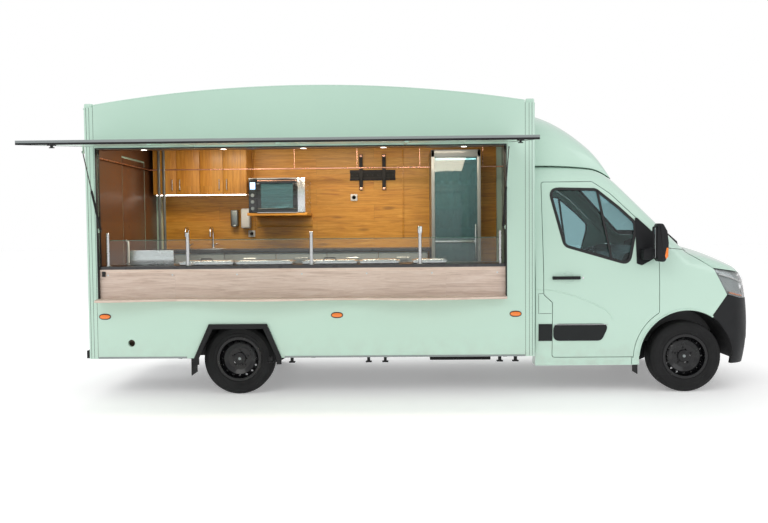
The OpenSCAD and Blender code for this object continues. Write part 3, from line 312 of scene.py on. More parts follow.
class Parts:
    """Several simple shapes gathered into one piece."""

    def __init__(self):
        self.v, self.f = [], []

    def add(self, verts, faces):
        base = len(self.v)
        self.v += [tuple(p) for p in verts]
        self.f += [tuple(base + i for i in f) for f in faces]
        return self

    def box(self, lo, hi, bevel=2.0, segments=2):
        size = [abs(b - a) for a, b in zip(lo, hi)]
        bm = bmesh.new()
        bmesh.ops.create_cube(bm, size=1.0)
        mid = [(a + b) / 2 for a, b in zip(lo, hi)]
        for v in bm.verts:
            v.co = Vector([m + c * s for m, c, s in zip(mid, v.co, size)])
        width = min(bevel, min(size) * 0.42)
        if width > 0:
            bmesh.ops.bevel(bm, geom=bm.edges[:], offset=width, segments=segments, profile=0.5, affect="EDGES")
        bm.verts.index_update()
        self.add([v.co[:] for v in bm.verts], [[v.index for v in f.verts] for f in bm.faces])
        bm.free()
        return self

    def turned(self, profile, axis, at, segments=32, close=False):
        """Revolves (radius, height) points about an axis vector through a point."""
        z = Vector(axis).normalized()
        x = z.orthogonal().normalized()
        y = z.cross(x)
        verts, faces, n, m = [], [], len(profile), segments
        for r, h in profile:
            for k in range(m):
                a = 2 * math.pi * k / m
                verts.append(Vector(at) + z * h + (x * math.cos(a) + y * math.sin(a)) * r)
        for j in range(n if close else n - 1):
            for k in range(m):
                a, b = j * m + k, j * m + (k + 1) % m
                c, d = ((j + 1) % n) * m + (k + 1) % m, ((j + 1) % n) * m + k
                faces.append((a, b, c, d))
        if not close:
            faces.append(tuple(range(m - 1, -1, -1)))
            faces.append(tuple((n - 1) * m + k for k in range(m)))
        return self.add(verts, faces)

    def tube(self, points, radius, segments=10, close=False):
        return self.swept(points, [(radius * math.cos(2 * math.pi * k / segments),
                                    radius * math.sin(2 * math.pi * k / segments)) for k in range(segments)], close)

    def swept(self, points, section, close=False, up=None):
        """Carries a closed section along a line of points."""
        pts = [Vector(p) for p in points]
        n, m = len(pts), len(section)
        verts, faces, normal = [], [], None
        for i, p in enumerate(pts):
            before = pts[i - 1] if (i or close) else pts[0]
            after = pts[(i + 1) % n] if (i < n - 1 or close) else pts[-1]
            t = (after - before).normalized()
            if up is not None:
                side = t.cross(Vector(up)).normalized()
                normal = side.cross(t)
            else:
                normal = t.orthogonal() if normal is None else normal - t * normal.dot(t)
                normal.normalize()
                side = t.cross(normal)
            stretch = 1.0
            if 0 < i < n - 1 or close:
                c = (p - before).normalized().dot((after - p).normalized())
                stretch = 1 / max(math.sqrt((1 + c) / 2), 0.5)
            verts += [p + side * u * stretch + normal * w for u, w in section]
        for i in range(n if close else n - 1):
            for k in range(m):
                a, b = i * m + k, i * m + (k + 1) % m
                c, d = ((i + 1) % n) * m + (k + 1) % m, ((i + 1) % n) * m + k
                faces.append((a, b, c, d))
        if not close:
            faces += [tuple(range(m - 1, -1, -1)), tuple((n - 1) * m + k for k in range(m))]
        return self.add(verts, faces)

    def prism(self, outline, a, b, plane="xz", bevel=0.0):
        """Draws a flat outline out from a to b along the axis that the plane leaves."""
        place = {"xz": lambda u, w, t: (u, t, w), "xy": lambda u, w, t: (u, w, t),
                 "yz": lambda u, w, t: (t, u, w)}[plane]
        bm = bmesh.new()
        ring = [bm.verts.new(place(u, w, a)) for u, w in outline]
        top = [bm.verts.new(place(u, w, b)) for u, w in outline]
        bm.faces.new(ring)
        bm.faces.new(top[::-1])
        n = len(outline)
        for i in range(n):
            bm.faces.new((ring[(i + 1) % n], ring[i], top[i], top[(i + 1) % n]))
        bmesh.ops.recalc_face_normals(bm, faces=bm.faces[:])
        if bevel:
            edges = [e for e in bm.edges if len({v in ring for v in e.verts}) == 1]
            bmesh.ops.bevel(bm, geom=edges, offset=bevel, segments=2, profile=0.5, affect="EDGES")
        bm.verts.index_update()
        self.add([v.co[:] for v in bm.verts], [[v.index for v in f.verts] for f in bm.faces])
        bm.free()
        return self

    def mirrored(self):
        """Adds the other side's copy."""
        n = len(self.v)
        self.v += [(x, -y, z) for x, y, z in self.v[:n]]
        self.f += [tuple(n + i for i in f[::-1]) for f in list(self.f)]
        return self

    def flipped(self):
        self.v = [(x, -y, z) for x, y, z in self.v]
        self.f = [f[::-1] for f in self.f]
        return self

    def made(self, name, look, body="truck", sharp=35, replaces=()):
        return piece(name, self.v, self.f, look, body, sharp, replaces)


def arc(cx, cz, r, a0, a1, n=12):
    return [(cx + r * math.cos(math.radians(a0 + (a1 - a0) * i / n)),
             cz + r * math.sin(math.radians(a0 + (a1 - a0) * i / n))) for i in range(n + 1)]


def rounded_outline(points, r, n=6):
    """Fillets the corners of a closed outline."""
    out, m = [], len(points)
    for i in range(m):
        p = np.array(points[i], float)
        a, b = np.array(points[i - 1], float) - p, np.array(points[(i + 1) % m], float) - p
        la, lb = np.linalg.norm(a), np.linalg.norm(b)
        a, b = a / la, b / lb
        turn = math.acos(max(-1.0, min(1.0, float(a @ b))))
        if turn > math.radians(172) or turn < 0.01:
            out.append(tuple(p))
            continue
        back = min(r / math.tan(turn / 2), 0.45 * min(la, lb))
        s, e = p + a * back, p + b * back
        for k in range(n + 1):
            t = k / n
            out.append(tuple((1 - t) ** 2 * s + 2 * t * (1 - t) * p + t ** 2 * e))
    return out


def grown(points, d):
    """Mitred offset of a closed outline, outwards for positive d."""
    pts = np.array(points, float)
    area = 0.5 * np.sum(pts[:, 0] * np.roll(pts[:, 1], -1) - np.roll(pts[:, 0], -1) * pts[:, 1])
    sign = 1.0 if area > 0 else -1.0
    out = []
    for i in range(len(pts)):
        a, b = pts[i] - pts[i - 1], pts[(i + 1) % len(pts)] - pts[i]
        na = np.array([a[1], -a[0]]) / (np.linalg.norm(a) + 1e-9) * sign
        nb = np.array([b[1], -b[0]]) / (np.linalg.norm(b) + 1e-9) * sign
        k = na + nb
        out.append(tuple(pts[i] + k * d / max(float(k @ nb), 0.35)))
    return out


# ---- The cab's skin ----
def side_half(x, z):
    return (BELT - 0.00012 * np.maximum(x + 300, 0) ** 2 - 0.085 * (np.hypot(z - 1190, 120) + z - 1190)
            - 35 * (np.maximum(900 - z, 0) / 600) ** 2)


def nose_x(y, z):
    return NOSE - np.where(z > NOSE_HEIGHT, 0.00022,
        0.00035) * (z - NOSE_HEIGHT) ** 2 - 193 * (np.abs(y) / 750) ** 1.75


def soft_min(a, b, k):
    return np.minimum(a, b) - (np.maximum(k - np.abs(a - b), 0) / k) ** 2 * k / 4


def top_z(x, y):
    hood = 1440 - 0.14 * x - 0.00035 * x * x - 60 * (y / 700) ** 2
    screen = GLASS_BASE - 0.979 * (x + 80 + 120 * (y / 750) ** 2)
    roof = CAB_TOP - 0.00012 * np.maximum(x + 1400, 0) ** 2 - 55 * (y / 800) ** 2
    return -soft_min(-hood, -soft_min(screen, roof, 120), 20)


def rounded(a, b, r):
    return np.minimum(np.maximum(a, b), -r) + np.hypot(np.maximum(a + r, 0), np.maximum(b + r, 0))


def cab_field(p):
    x, y, z = p[..., 0], np.abs(p[..., 1]), p[..., 2]
    return rounded(rounded(y - side_half(x, z), z - top_z(x, y), 110), x - nose_x(y, z), 90)


def on_skin(start, way, deep, far=2600.0):
    lo, hi = np.zeros(start.shape[:-1]), np.full(start.shape[:-1], far)
    for _ in range(24):
        mid = (lo + hi) / 2
        inside = cab_field(start + way * mid[..., None]) + deep < 0
        lo, hi = np.where(inside, mid, lo), np.where(inside, hi, mid)
    return start + way * ((lo + hi) / 2)[..., None]


def skin_normal(p):
    g = np.stack([cab_field(p + d) - cab_field(p - d) for d in np.eye(3)], -1)
    return g / (np.linalg.norm(g, axis=-1, keepdims=True) + 1e-12)


CORE = 900.0


def skin_mesh(deep, steps=168, barrel=58, nose=40):
    """The closed volume inside the skin, deep millimetres in."""
    a = np.radians(-52 + 284 * np.arange(steps + 1) / steps)
    ring = np.stack([np.zeros_like(a), np.cos(a), np.sin(a)], -1)
    rings = []
    start_x = CAB_REAR + (CAB_WALL if deep > 0 else 0)
    for j in range(barrel + 1):
        core = np.tile([start_x * (1 - j / barrel), 0, CORE], (steps + 1, 1))
        rings.append(on_skin(core, ring, deep))
    for j in range(1, nose + 1):
        b = math.radians(87 * j / nose)
        way = np.stack([np.full_like(a, math.sin(b)), math.cos(b) * np.cos(a), math.cos(b) * np.sin(a)], -1)
        rings.append(on_skin(np.tile([0, 0, CORE], (steps + 1, 1)), way, deep))
    n, m = steps + 1, len(rings)
    faces = [tuple(range(n)), tuple((m - 1) * n + n - 1 - i for i in range(n))]
    for j in range(m - 1):
        for i in range(n):
            k = (i + 1) % n
            faces += [(j * n + i, (j + 1) * n + i, j * n + k), (j * n + k, (j + 1) * n + i, (j + 1) * n + k)]
    return raw_mesh(np.concatenate(rings), faces)


def raw_mesh(verts, faces):
    mesh = bpy.data.meshes.new("raw")
    mesh.from_pydata(np.asarray(verts, float).tolist(), [], faces)
    bm = bmesh.new()
    bm.from_mesh(mesh)
    bmesh.ops.recalc_face_normals(bm, faces=bm.faces[:])
    if bm.calc_volume(signed=True) < 0:
        bmesh.ops.reverse_faces(bm, faces=bm.faces[:])
    bm.to_mesh(mesh)
    bm.free()
    return mesh


def boolean(a, b, operation):
    """A new mesh: a INTERSECT, DIFFERENCE or UNION b."""
    first, second = bpy.data.objects.new("a", a), bpy.data.objects.new("b", b)
    for o in (first, second):
        bpy.context.scene.collection.objects.link(o)
    step = first.modifiers.new("cut", "BOOLEAN")
    step.object, step.operation, step.solver = second, operation, "MANIFOLD"
    bpy.context.view_layer.update()
    made = bpy.data.meshes.new_from_object(first.evaluated_get(bpy.context.evaluated_depsgraph_get()))
    for o in (first, second):
        bpy.data.objects.remove(o)
    return made


def cut(mesh, *steps):
    for operation, tool in steps:
        mesh = boolean(mesh, tool, operation)
    return mesh


def side_tool(outline, y0, y1, both=False):
    p = Parts().prism(outline, y0, y1)
    return raw_mesh(p.mirrored().v if both else p.v, p.f)


def box_tool(lo, hi):
    p = Parts().box(lo, hi, 0)
    return raw_mesh(p.v, p.f)


def wheel_tool(r, y0=555.0, y1=BELT + 60):
    p = Parts().prism(arc(0, HUB, r, 0, 356.25, 95), y0, y1).mirrored()
    return raw_mesh(p.v, p.f)


def skinned(name, mesh, look, body="truck", replaces=(), flip=False):
    """A piece cut from the skin, with the skin's own normals where it follows it."""
    if flip:
        for v in mesh.vertices:
            v.co.y = -v.co.y
        mesh.flip_normals()
    co = np.zeros(len(mesh.vertices) * 3)
    mesh.vertices.foreach_get("co", co)
    co = co.reshape(-1, 3)
    smooth = skin_normal(co)
    corner = np.zeros(len(mesh.loops), int)
    mesh.loops.foreach_get("vertex_index", corner)
    flat = np.zeros(len(mesh.polygons) * 3)
    mesh.polygons.foreach_get("normal", flat)
    counts = np.zeros(len(mesh.polygons), int)
    mesh.polygons.foreach_get("loop_total", counts)
    flat = np.repeat(flat.reshape(-1, 3), counts, axis=0)
    wanted = smooth[corner]
    aligned = np.sum(wanted * flat, -1)
    normals = np.where((aligned > 0.93)[:, None], wanted, np.where((aligned < -0.93)[:, None], -wanted, flat))
    mesh.vertices.foreach_set("co", row(co).ravel())
    mesh.shade_smooth()
    mesh.normals_split_custom_set(normals.tolist())
    mesh.update()
    return dressed(name, mesh, look, body, None, replaces)


DOOR_FRONT, DOOR_REAR, DOOR_ARCH, ARCH = -275.0, -1373.0, 515.0, 450.0
door_line = ([(DOOR_REAR, 2040), (-885, 2040), (-720, 1925), (-551, 1759), (-325, 1539), (DOOR_FRONT, 1480)]
             + arc(0, HUB, DOOR_ARCH, 180 - math.degrees(math.acos(-DOOR_FRONT / DOOR_ARCH)), 180, 14)
             + [(-DOOR_ARCH, 353), (-1290, 353), (-1290, 884), (DOOR_REAR, 961)])
door_outline = rounded_outline(door_line, 26)
window_outline = rounded_outline([(-1301, 1977), (-851, 1965), (-641, 1790), (-490, 1645), (-490, 1560),
                                  (-560, 1245), (-1165, 1425)], 75)
bonnet_outline = [(-20, 1382), (262, 1198), (500, 1163), (700, 1106), (900, 1060), (900, 1600), (-20, 1600)]
lamp_outline = rounded_outline([(266, 1188), (500, 1155), (700, 1098), (900, 1045), (900, 880), (533, 908),
    (402, 944)], 12)
bumper_outline = ([(398, 943.5), (533, 907.5), (900, 879.5), (900, CAB_LOW - 5), (ARCH - 20, CAB_LOW - 5)]
                  + arc(0, HUB, ARCH + 7, -9, 58, 16))
wing_outline = [(DOOR_FRONT + SHUT, 1400), (-20, 1375), (258, 1192), (392, 940), (226, 715), (226, 300),
                (-DOOR_ARCH + SHUT, CAB_LOW + 2), (-DOOR_ARCH - 8, CAB_LOW + 2), (-DOOR_ARCH - 8, 360),
                (-DOOR_ARCH, 500), (-300, 800), (DOOR_FRONT + SHUT, 830)]
screen_outline = rounded_outline([(-850, 1510), (-735, 2080), (735, 2080), (850, 1510)], 50)
OUT = BELT + 60
bonnet_rear = [(120 - 75 * (y / 900) ** 2, y) for y in range(-950, 951, 50)]
HINGE_X, HINGE_Z, COWL = 25.0, 1385.0, 110.0


def bonnet_tool(gap=0.0):
    side = side_tool(grown(bonnet_outline, gap), -OUT, OUT)
    plan = Parts().prism([(x - gap, y) for x, y in bonnet_rear] + [(1000, 950), (1000, -950)], 900, 1700, "xy")
    return boolean(side, raw_mesh(plan.v, plan.f), "INTERSECT")


def screen_tool(gap=0.0):
    p = Parts().prism(grown(screen_outline, gap), -760, 240, "yz")
    return raw_mesh(p.v, p.f)


I, D = "INTERSECT", "DIFFERENCE"
outer, deep_wall = skin_mesh(0), skin_mesh(CAB_WALL)
below = box_tool((CAB_REAR - 5, -BELT - 50, -900), (NOSE + 60, BELT + 50, CAB_LOW))
shell = cut(outer, (D, deep_wall), (D, below))
cowl_rod = Parts().prism(arc(HINGE_X, HINGE_Z, COWL, 0, 354, 59), -800, 800)
cowl_tool = raw_mesh(cowl_rod.v, cowl_rod.f)
cab_main = cut(shell, (D, side_tool(grown(door_outline, SHUT), 500, OUT, True)),
               (D, side_tool(grown(wing_outline, SHUT), 300, OUT, True)), (D, bonnet_tool(SHUT)),
               (D, side_tool(grown(bumper_outline, SHUT), -OUT, OUT)), (D,
                   side_tool(grown(lamp_outline, SHUT), -OUT, OUT)),
               (D, screen_tool()), (D, wheel_tool(ARCH + 12)),
               (D, box_tool((140, -OUT, 0), (NOSE + 60, OUT, 3000))),
               (D, box_tool((CAB_REAR - 5, -840, CAB_LOW - 5), (CAB_REAR + CAB_WALL + 5, 840, 422))), (D,
                   cowl_tool))
skinned("cab_shell", cab_main, "body", replaces=("cab_body",))
wing = cut(shell, (I, side_tool(wing_outline, 400, OUT, True)), (D, wheel_tool(ARCH + 7, 300, OUT + 5)),
           (D, side_tool(grown(door_outline, SHUT), 300, OUT + 5, True)))
skinned("wings", wing, "body", replaces=("front_wings",))
skinned("bonnet_panel", cut(outer, (I, bonnet_tool()), (D, skin_mesh(30, 120, 44, 30))), "body", "bonnet",
    ("bonnet",))
grille = box_tool((500, -430, 640), (950, 430, 1085))
intake = box_tool((500, -420, 430), (950, 420, 600))
bumper = cut(shell, (I, cut(side_tool(bumper_outline, -OUT, OUT), ("UNION", grille))), (D, bonnet_tool(SHUT)),
    (D, intake),
             (D, box_tool((600, -400, 765), (950, 400, 1020))))
skinned("bumper_cover", bumper, "plastic", replaces=("front_bumper",))
lamp_zone = cut(side_tool(lamp_outline, -OUT, OUT), (D, box_tool((-50, -436, 800), (950, 436, 1200))))
lens = cut(outer, (I, lamp_zone), (D, skin_mesh(5, 120, 44, 30)))
skinned("headlight_lenses", lens, "lens", replaces=("headlights",))
bowl = cut(skin_mesh(38, 120, 44, 30), (I, lamp_zone), (D, skin_mesh(45, 120, 44, 30)))
skinned("headlight_bowls", bowl, "alu")
glass_shell = cut(skin_mesh(8), (D, skin_mesh(14)))
skinned("windscreen_glass", cut(glass_shell, (I, screen_tool(-1))), "cab_glass", replaces=("windscreen",))
frit = cut(skin_mesh(14.5), (D, skin_mesh(16)), (I, screen_tool(-1)), (D, screen_tool(-55)))
skinned("windscreen_border", frit, "rubber")
door = cut(shell, (I, side_tool(door_outline, 500, OUT)), (D, side_tool(window_outline, 450, OUT + 5)))
pane = cut(skin_mesh(14), (D, skin_mesh(19)), (I, side_tool(grown(window_outline, -0.3), 500, OUT)))
for side_name, flip in (("left", False), ("right", True)):
    skinned("door_panel_" + side_name, door.copy(), "body", "door_" + side_name, ("door_" + side_name,), flip)
    skinned("door_pane_" + side_name, pane.copy(), "cab_glass", "door_" + side_name, ("door_glass_" + side_name,),
        flip)
inside = skin_mesh(53, 120, 40, 30)
door_room = side_tool(grown(door_outline, SHUT), BELT - 95, OUT, True)
cab_floor = cut(inside, (I, box_tool((CAB_REAR + 20, -BELT, 520), (-360, BELT, 560))), (D, wheel_tool(ARCH + 12)),
    (D, door_room))
skinned("cab_floor", cab_floor, "floor")
bulkhead = cut(inside, (I, box_tool((-390, -BELT, 422), (-360, BELT, 1039))), (D, wheel_tool(ARCH + 12)),
    (D, door_room))
skinned("cab_bulkhead", bulkhead, "trim")
sill_left = box_tool((CAB_REAR + 20, 840, CAB_LOW), (-520, 1000, 345))
sill_right = box_tool((CAB_REAR + 20, -1000, CAB_LOW), (-520, -840, 345))
sills = cut(inside, (I, cut(sill_left, ("UNION", sill_right))))
skinned("cab_sills", sills, "frame")
tray = Parts().prism(arc(HINGE_X, HINGE_Z, COWL + 7, 60, 232, 30) + arc(HINGE_X, HINGE_Z, COWL + 0.5, 232, 60, 30),
    -798, 798)
skinned("scuttle_tray", cut(skin_mesh(2, 120, 44, 30), (I, raw_mesh(tray.v, tray.f))), "trim")


def skin_at(x, z, out=0.0):
    """The skin's point seen from the left side at x and height z, out millimetres proud."""
    start = np.array([x, 0.0, z])
    p = on_skin(start[None], np.array([[0.0, 1.0, 0.0]]), 0.0, 1200.0)[0]
    return p + skin_normal(p[None])[0] * out


def skin_band(line, section, close=False, dense=30.0):
    """Sweeps a section, as (across, proud) pairs, along a side-view line on the left skin."""
    pts = []
    n = len(line)
    for i in range(n if close else n - 1):
        a, b = np.array(line[i], float), np.array(line[(i + 1) % n], float)
        steps = max(1, int(np.linalg.norm(b - a) / dense))
        pts += [a + (b - a) * k / steps for k in range(steps)]
    if not close:
        pts.append(np.array(line[-1], float))
    m, verts, faces = len(pts), [], []
    for i, p in enumerate(pts):
        before = pts[i - 1] if (i or close) else p
        after = pts[(i + 1) % m] if (i < m - 1 or close) else p
        t = (after - before) / (np.linalg.norm(after - before) + 1e-9)
        across = np.array([-t[1], t[0]])
        for u, w in section:
            q = p + across * u
            verts.append(skin_at(q[0], q[1], w))
    k = len(section)
    for i in range(m if close else m - 1):
        for j in range(k):
            faces.append((i * k + j, i * k + (j + 1) % k, ((i + 1) % m) * k + (j + 1) % k, ((i + 1) % m) * k + j))
    if not close:
        faces += [tuple(range(k - 1, -1, -1)), tuple((m - 1) * k + j for j in range(k))]
    return Parts().add(verts, faces)


def pad_section(half, proud, sunk=-3.0, soft=3.0):
    return [(-half, sunk), (half, sunk), (half, proud - soft), (half - soft, proud), (-half + soft, proud),
        (-half, proud - soft)]


def sided(parts, name, look, door=False, replaces=()):
    """The left side's shape and its mirror image, each on its door or both on the truck."""
    if not door:
        Parts().add(parts.v, parts.f).mirrored().made(name, look)
        return
    for side, flip in (("left", False), ("right", True)):
        copy = Parts().add(parts.v, parts.f)
        if flip:
            copy.flipped()
        copy.made(name + "_" + side, look, "door_" + side, replaces=tuple(r + side for r in replaces))


# ---- Trim on the cab ----
sided(skin_band(window_outline, pad_section(14, 5), True), "window_rubber", "rubber", True)
sided(skin_band([(-838, 1962), (-727, 1308)], pad_section(12, 5)), "window_divider", "rubber", True)
crease = [(-1463, 1010), (-1366, 1005), (-1259, 993), (-1083, 947), (-905, 872), (-781, 810), (-728, 748),
    (-719, 713)]
sided(skin_band(crease[1:], pad_section(9, 4, -2, 6)), "door_crease", "body", True)
sided(skin_band([(-1448, 1009), (-1380, 1006)], pad_section(9, 4, -2, 6)), "pillar_crease", "body")
sided(skin_band(arc(0, HUB, 462, 57, 178, 40), pad_section(9, 7, -2, 6)), "wing_lip", "body")
proud = cut(skin_mesh(-7), (D, skin_mesh(3)))
rub_front = side_tool(rounded_outline([(-1284, 512), (-1284, 676), (-748, 676), (-822, 512)], 60), 500, OUT)
rub_rear = side_tool([(-1425, 512), (-1425, 676), (-1296, 676), (-1296, 512)], 500, OUT, True)
foot_tool = side_tool(rounded_outline([(-487, 1688), (-466, 1688), (-312, 1540), (-312, 1300), (-440, 1232),
    (-487, 1250)], 12), 500, OUT)
skinned("rub_panel_rear", cut(proud, (I, rub_rear)), "trim")
for side_name, flip in (("left", False), ("right", True)):
    skinned("rub_panel_" + side_name, cut(proud, (I, rub_front)), "trim", "door_" + side_name, (), flip)
    skinned("mirror_foot_" + side_name, cut(proud, (I, foot_tool)), "plastic", "door_" + side_name, (), flip)
sided(skin_band([(-1280, 668), (-764, 668)], pad_section(3, 10)), "rub_strip", "chrome", True)
fuel = skin_band([(-1302, 777), (-1425, 777), (-1425, 969), (-1382, 969)], pad_section(2, 1.2, -2, 0.8)).flipped()
fuel.made("fuel_flap_line", "rubber")

handle = Parts()
grip_line = [skin_at(-1286, 1118, 0), skin_at(-1280, 1118, 22), skin_at(-1262, 1118, 31), skin_at(-1150, 1118, 35),
             skin_at(-1054, 1118, 31), skin_at(-1036, 1118, 22), skin_at(-1030, 1118, 0)]
handle.swept(grip_line, [(-6, -13), (0, -16), (6, -13), (8, 0), (6, 13), (0, 16), (-6, 13), (-8, 0)], up=(0, 0, 1))
sided(handle, "door_handle", "plastic", True)
cup_at = skin_at(-1140, 1118)
cup = Parts().turned([(63, -2), (63, 2), (58, 4), (53, 2), (44, -0.5), (0, -1)], (0, 1, 0), cup_at, 48)
sided(cup, "handle_cup", "body", True)
lock = Parts().turned([(11, -2), (11, 3), (9, 5), (0, 5)], (0, 1, 0), skin_at(-1000, 1118), 24)
sided(lock, "door_lock", "chrome", True)

housing_line = rounded_outline([(-352, 1632), (-300, 1628), (-262, 1560), (-248, 1450), (-252, 1330), (-285, 1270),
                                (-350, 1275), (-370, 1330), (-366, 1600)], 26)
housing = Parts().prism(housing_line, 1110, 1233, bevel=24)
housing.prism(rounded_outline([(-455, 1285), (-335, 1300), (-335, 1405), (-455, 1385)], 20), 985, 1125, bevel=8)
sided(housing, "mirror_housing", "plastic", True, ("mirror_",))
rim_line = rounded_outline([(1118, 1300), (1226, 1300), (1226, 1602), (1118, 1602)], 26)
sided(Parts().prism(rim_line, -374, -369, "yz", 1.5), "mirror_frame", "rubber", True)
sided(Parts().prism(grown(rim_line, -7), -376.5, -373, "yz", 0.8), "mirror_glass", "mirror", True)
blinker = Parts().prism(rounded_outline([(-282, 1296), (-262, 1318), (-258, 1400), (-276, 1408), (-292, 1330)], 7),
    1180, 1234.6, bevel=3)
sided(blinker, "mirror_blinker", "amber", True)

lamps_in = Parts()
PROJECTORS = ((612, 700, 1012, 44), (560, 806, 1022, 38))
for x, y, z, r in PROJECTORS:
    lamps_in.turned([(r + 9, -30), (r + 9, 8), (r + 5, 12), (r, 8), (r, -26)], (1, 0, 0.1), (x, y, z), 36)
sided(lamps_in, "lamp_rings", "chrome")
domes = Parts()
for x, y, z, r in PROJECTORS:
    curve = [((r - 1) * math.cos(a), 0.55 * (r - 1) * math.sin(a)) for a in (0.3, 0.6, 0.9, 1.2, 1.45)]
    domes.turned([(r - 1, 0)] + curve, (1, 0, 0.1), (x, y, z), 36)
sided(domes, "lamp_domes", "lens")
bar = [skin_at(x, z, -16) for x, z in ((318, 1140), (400, 1118), (500, 1088), (590, 1056), (660, 1024))]
sided(Parts().tube(bar, 8), "daytime_light", "white")
sided(Parts().tube([skin_at(x, z, -20) for x, z in ((424, 958), (500, 940), (580, 925))], 9), "lamp_turn_light",
    "amber")

grid = Parts()
for z in (792, 836, 880, 924, 968, 1004):
    ys = np.linspace(-396, 396, 25)
    grid.swept([(float(nose_x(y, z)) - 16, y, z) for y in ys], [(-6, -8), (6, -8), (6, 8), (-6, 8)], up=(0, 0, 1))
for z in (462, 498, 534, 570):
    ys = np.linspace(-416, 416, 25)
    grid.swept([(float(nose_x(y, z)) - 24, y, z) for y in ys], [(-4, -4), (4, -4), (4, 4), (-4, 4)], up=(0, 0, 1))
grid.made("grille_bars", "plastic")
trims = Parts()
for z in (836, 924):
    ys = np.linspace(-390, 390, 25)
    trims.swept([(float(nose_x(y, z)) - 8, y, z) for y in ys], [(-2, -3), (2, -3), (2, 3), (-2, 3)], up=(0, 0, 1))
trims.made("grille_trims", "chrome")
behind = Parts().box((742, -398, 767), (750, 398, 1018), 1).box((742, -418, 432), (750, 418, 598), 1)
behind.made("grille_backing", "rubber")
Parts().box((856, -268, 618), (872, 268, 742), 5).made("plate_frame", "plastic")
Parts().box((866, -260, 625), (878, 260, 735), 4).made("front_plate", "plate")
fogs = Parts().turned([(52, -40), (52, 4), (46, 8), (40, 2), (0, -4)], (1, 0.35, 0),
    (float(nose_x(640, 520)) - 8, 640, 520), 32)
sided(fogs, "fog_lamps", "lens")

wiper = Parts()
for y0, y1 in ((-700, -60), (20, 660)):
    ys = np.linspace(y0, y1, 12)
    blade = [(-30, y, float(top_z(-30, y)) + 14) for y in ys]
    wiper.swept(blade, [(-5, -8), (5, -8), (3, 6), (-3, 6)], up=(0, 0, 1))
    wiper.swept([(26, y0 + 40, float(top_z(26, y0 + 40)) - 6), (14, y0 + 46, float(top_z(14, y0 + 46)) + 16),
                 (-18, (y0 + y1) / 2 - 40, float(top_z(-18, (y0 + y1) / 2)) + 24), (-30, (y0 + y1) / 2,
                     float(top_z(-30, (y0 + y1) / 2)) + 22)],
                [(-8, -4), (8, -4), (8, 4), (-8, 4)], up=(0, 0, 1))
wiper.made("wipers", "plastic")


# ---- Cab seats ----
def cushion(centre, half, name, tilt=0.0, channels=3, soft=0.42, replaces=()):
    """A crowned pad whose sides draw in between its corners, with sewn channels on its face."""
    n, m = 56, 28
    draw_in = 0.045
    verts, faces = [], []
    turn = Matrix.Rotation(tilt, 4, "Y")

    def power(v, e):
        return math.copysign(abs(v) ** e, v)
    for j in range(m + 1):
        b = -math.pi / 2 + math.pi * j / m
        for i in range(n):
            a = 2 * math.pi * i / n
            girth = power(math.cos(b), 0.55)
            u, v, w = girth * power(math.cos(a), soft), girth * power(math.sin(a), soft), power(math.sin(b), 0.75)
            pull = 1 - draw_in * (1 - abs(u)) * (abs(v) > 0.9) - draw_in * (1 - abs(v)) * (abs(u) > 0.9)
            groove = 1 - 0.10 * max(0.0, math.cos(math.pi * channels * v)) ** 14 if w > 0.35 else 1.0
            p = Vector((u * half[0] * pull, v * half[1] * pull, w * half[2] * groove))
            verts.append(Vector(centre) + turn @ p)
    for j in range(m):
        for i in range(n):
            faces.append((j * n + i, j * n + (i + 1) % n, (j + 1) * n + (i + 1) % n, (j + 1) * n + i))
    obj = Parts().add(verts, faces).made(name, "fabric", sharp=60, replaces=replaces)
    return obj


for name, y, half in (("driver", 490, 240), ("bench", -330, 448)):
    rows = 3 if name == "driver" else 5
    stands_for = ("cab_seats",) if name == "driver" else ()
    cushion((-1040, y, 792), (262, half, 96), "seat_cushion_" + name, 0.05, rows, replaces=stands_for)
    cushion((-1320, y, 1160), (292, half - 6, 62), "seat_back_" + name, math.radians(78), rows)
for k, y in enumerate((490, -130, -560)):
    cushion((-1342, y, 1514), (84, 118, 41), "headrest_%d" % (k + 1), math.radians(84), 1)
base = Parts()
for y, half in ((490, 220), (-330, 430)):
    base.box((-1240, y - half, 562), (-820, y + half, 700), 12)
for y in (490, -130, -560):
    for d in (-45, 45):
        base.tube([(-1342, y + d, 1400), (-1342, y + d, 1470)], 6)
base.made("seat_frames", "plastic")
console = Parts().box((-640, -120, 1120), (-604, 120, 1210), 8)
for y in (-760, 760):
    console.turned([(48, 0), (48, 6), (42, 9), (0, 5)], (-1, 0, 0.25), (-622, y * 0.86, 1180), 28)
console.made("dash_vents", "rubber")

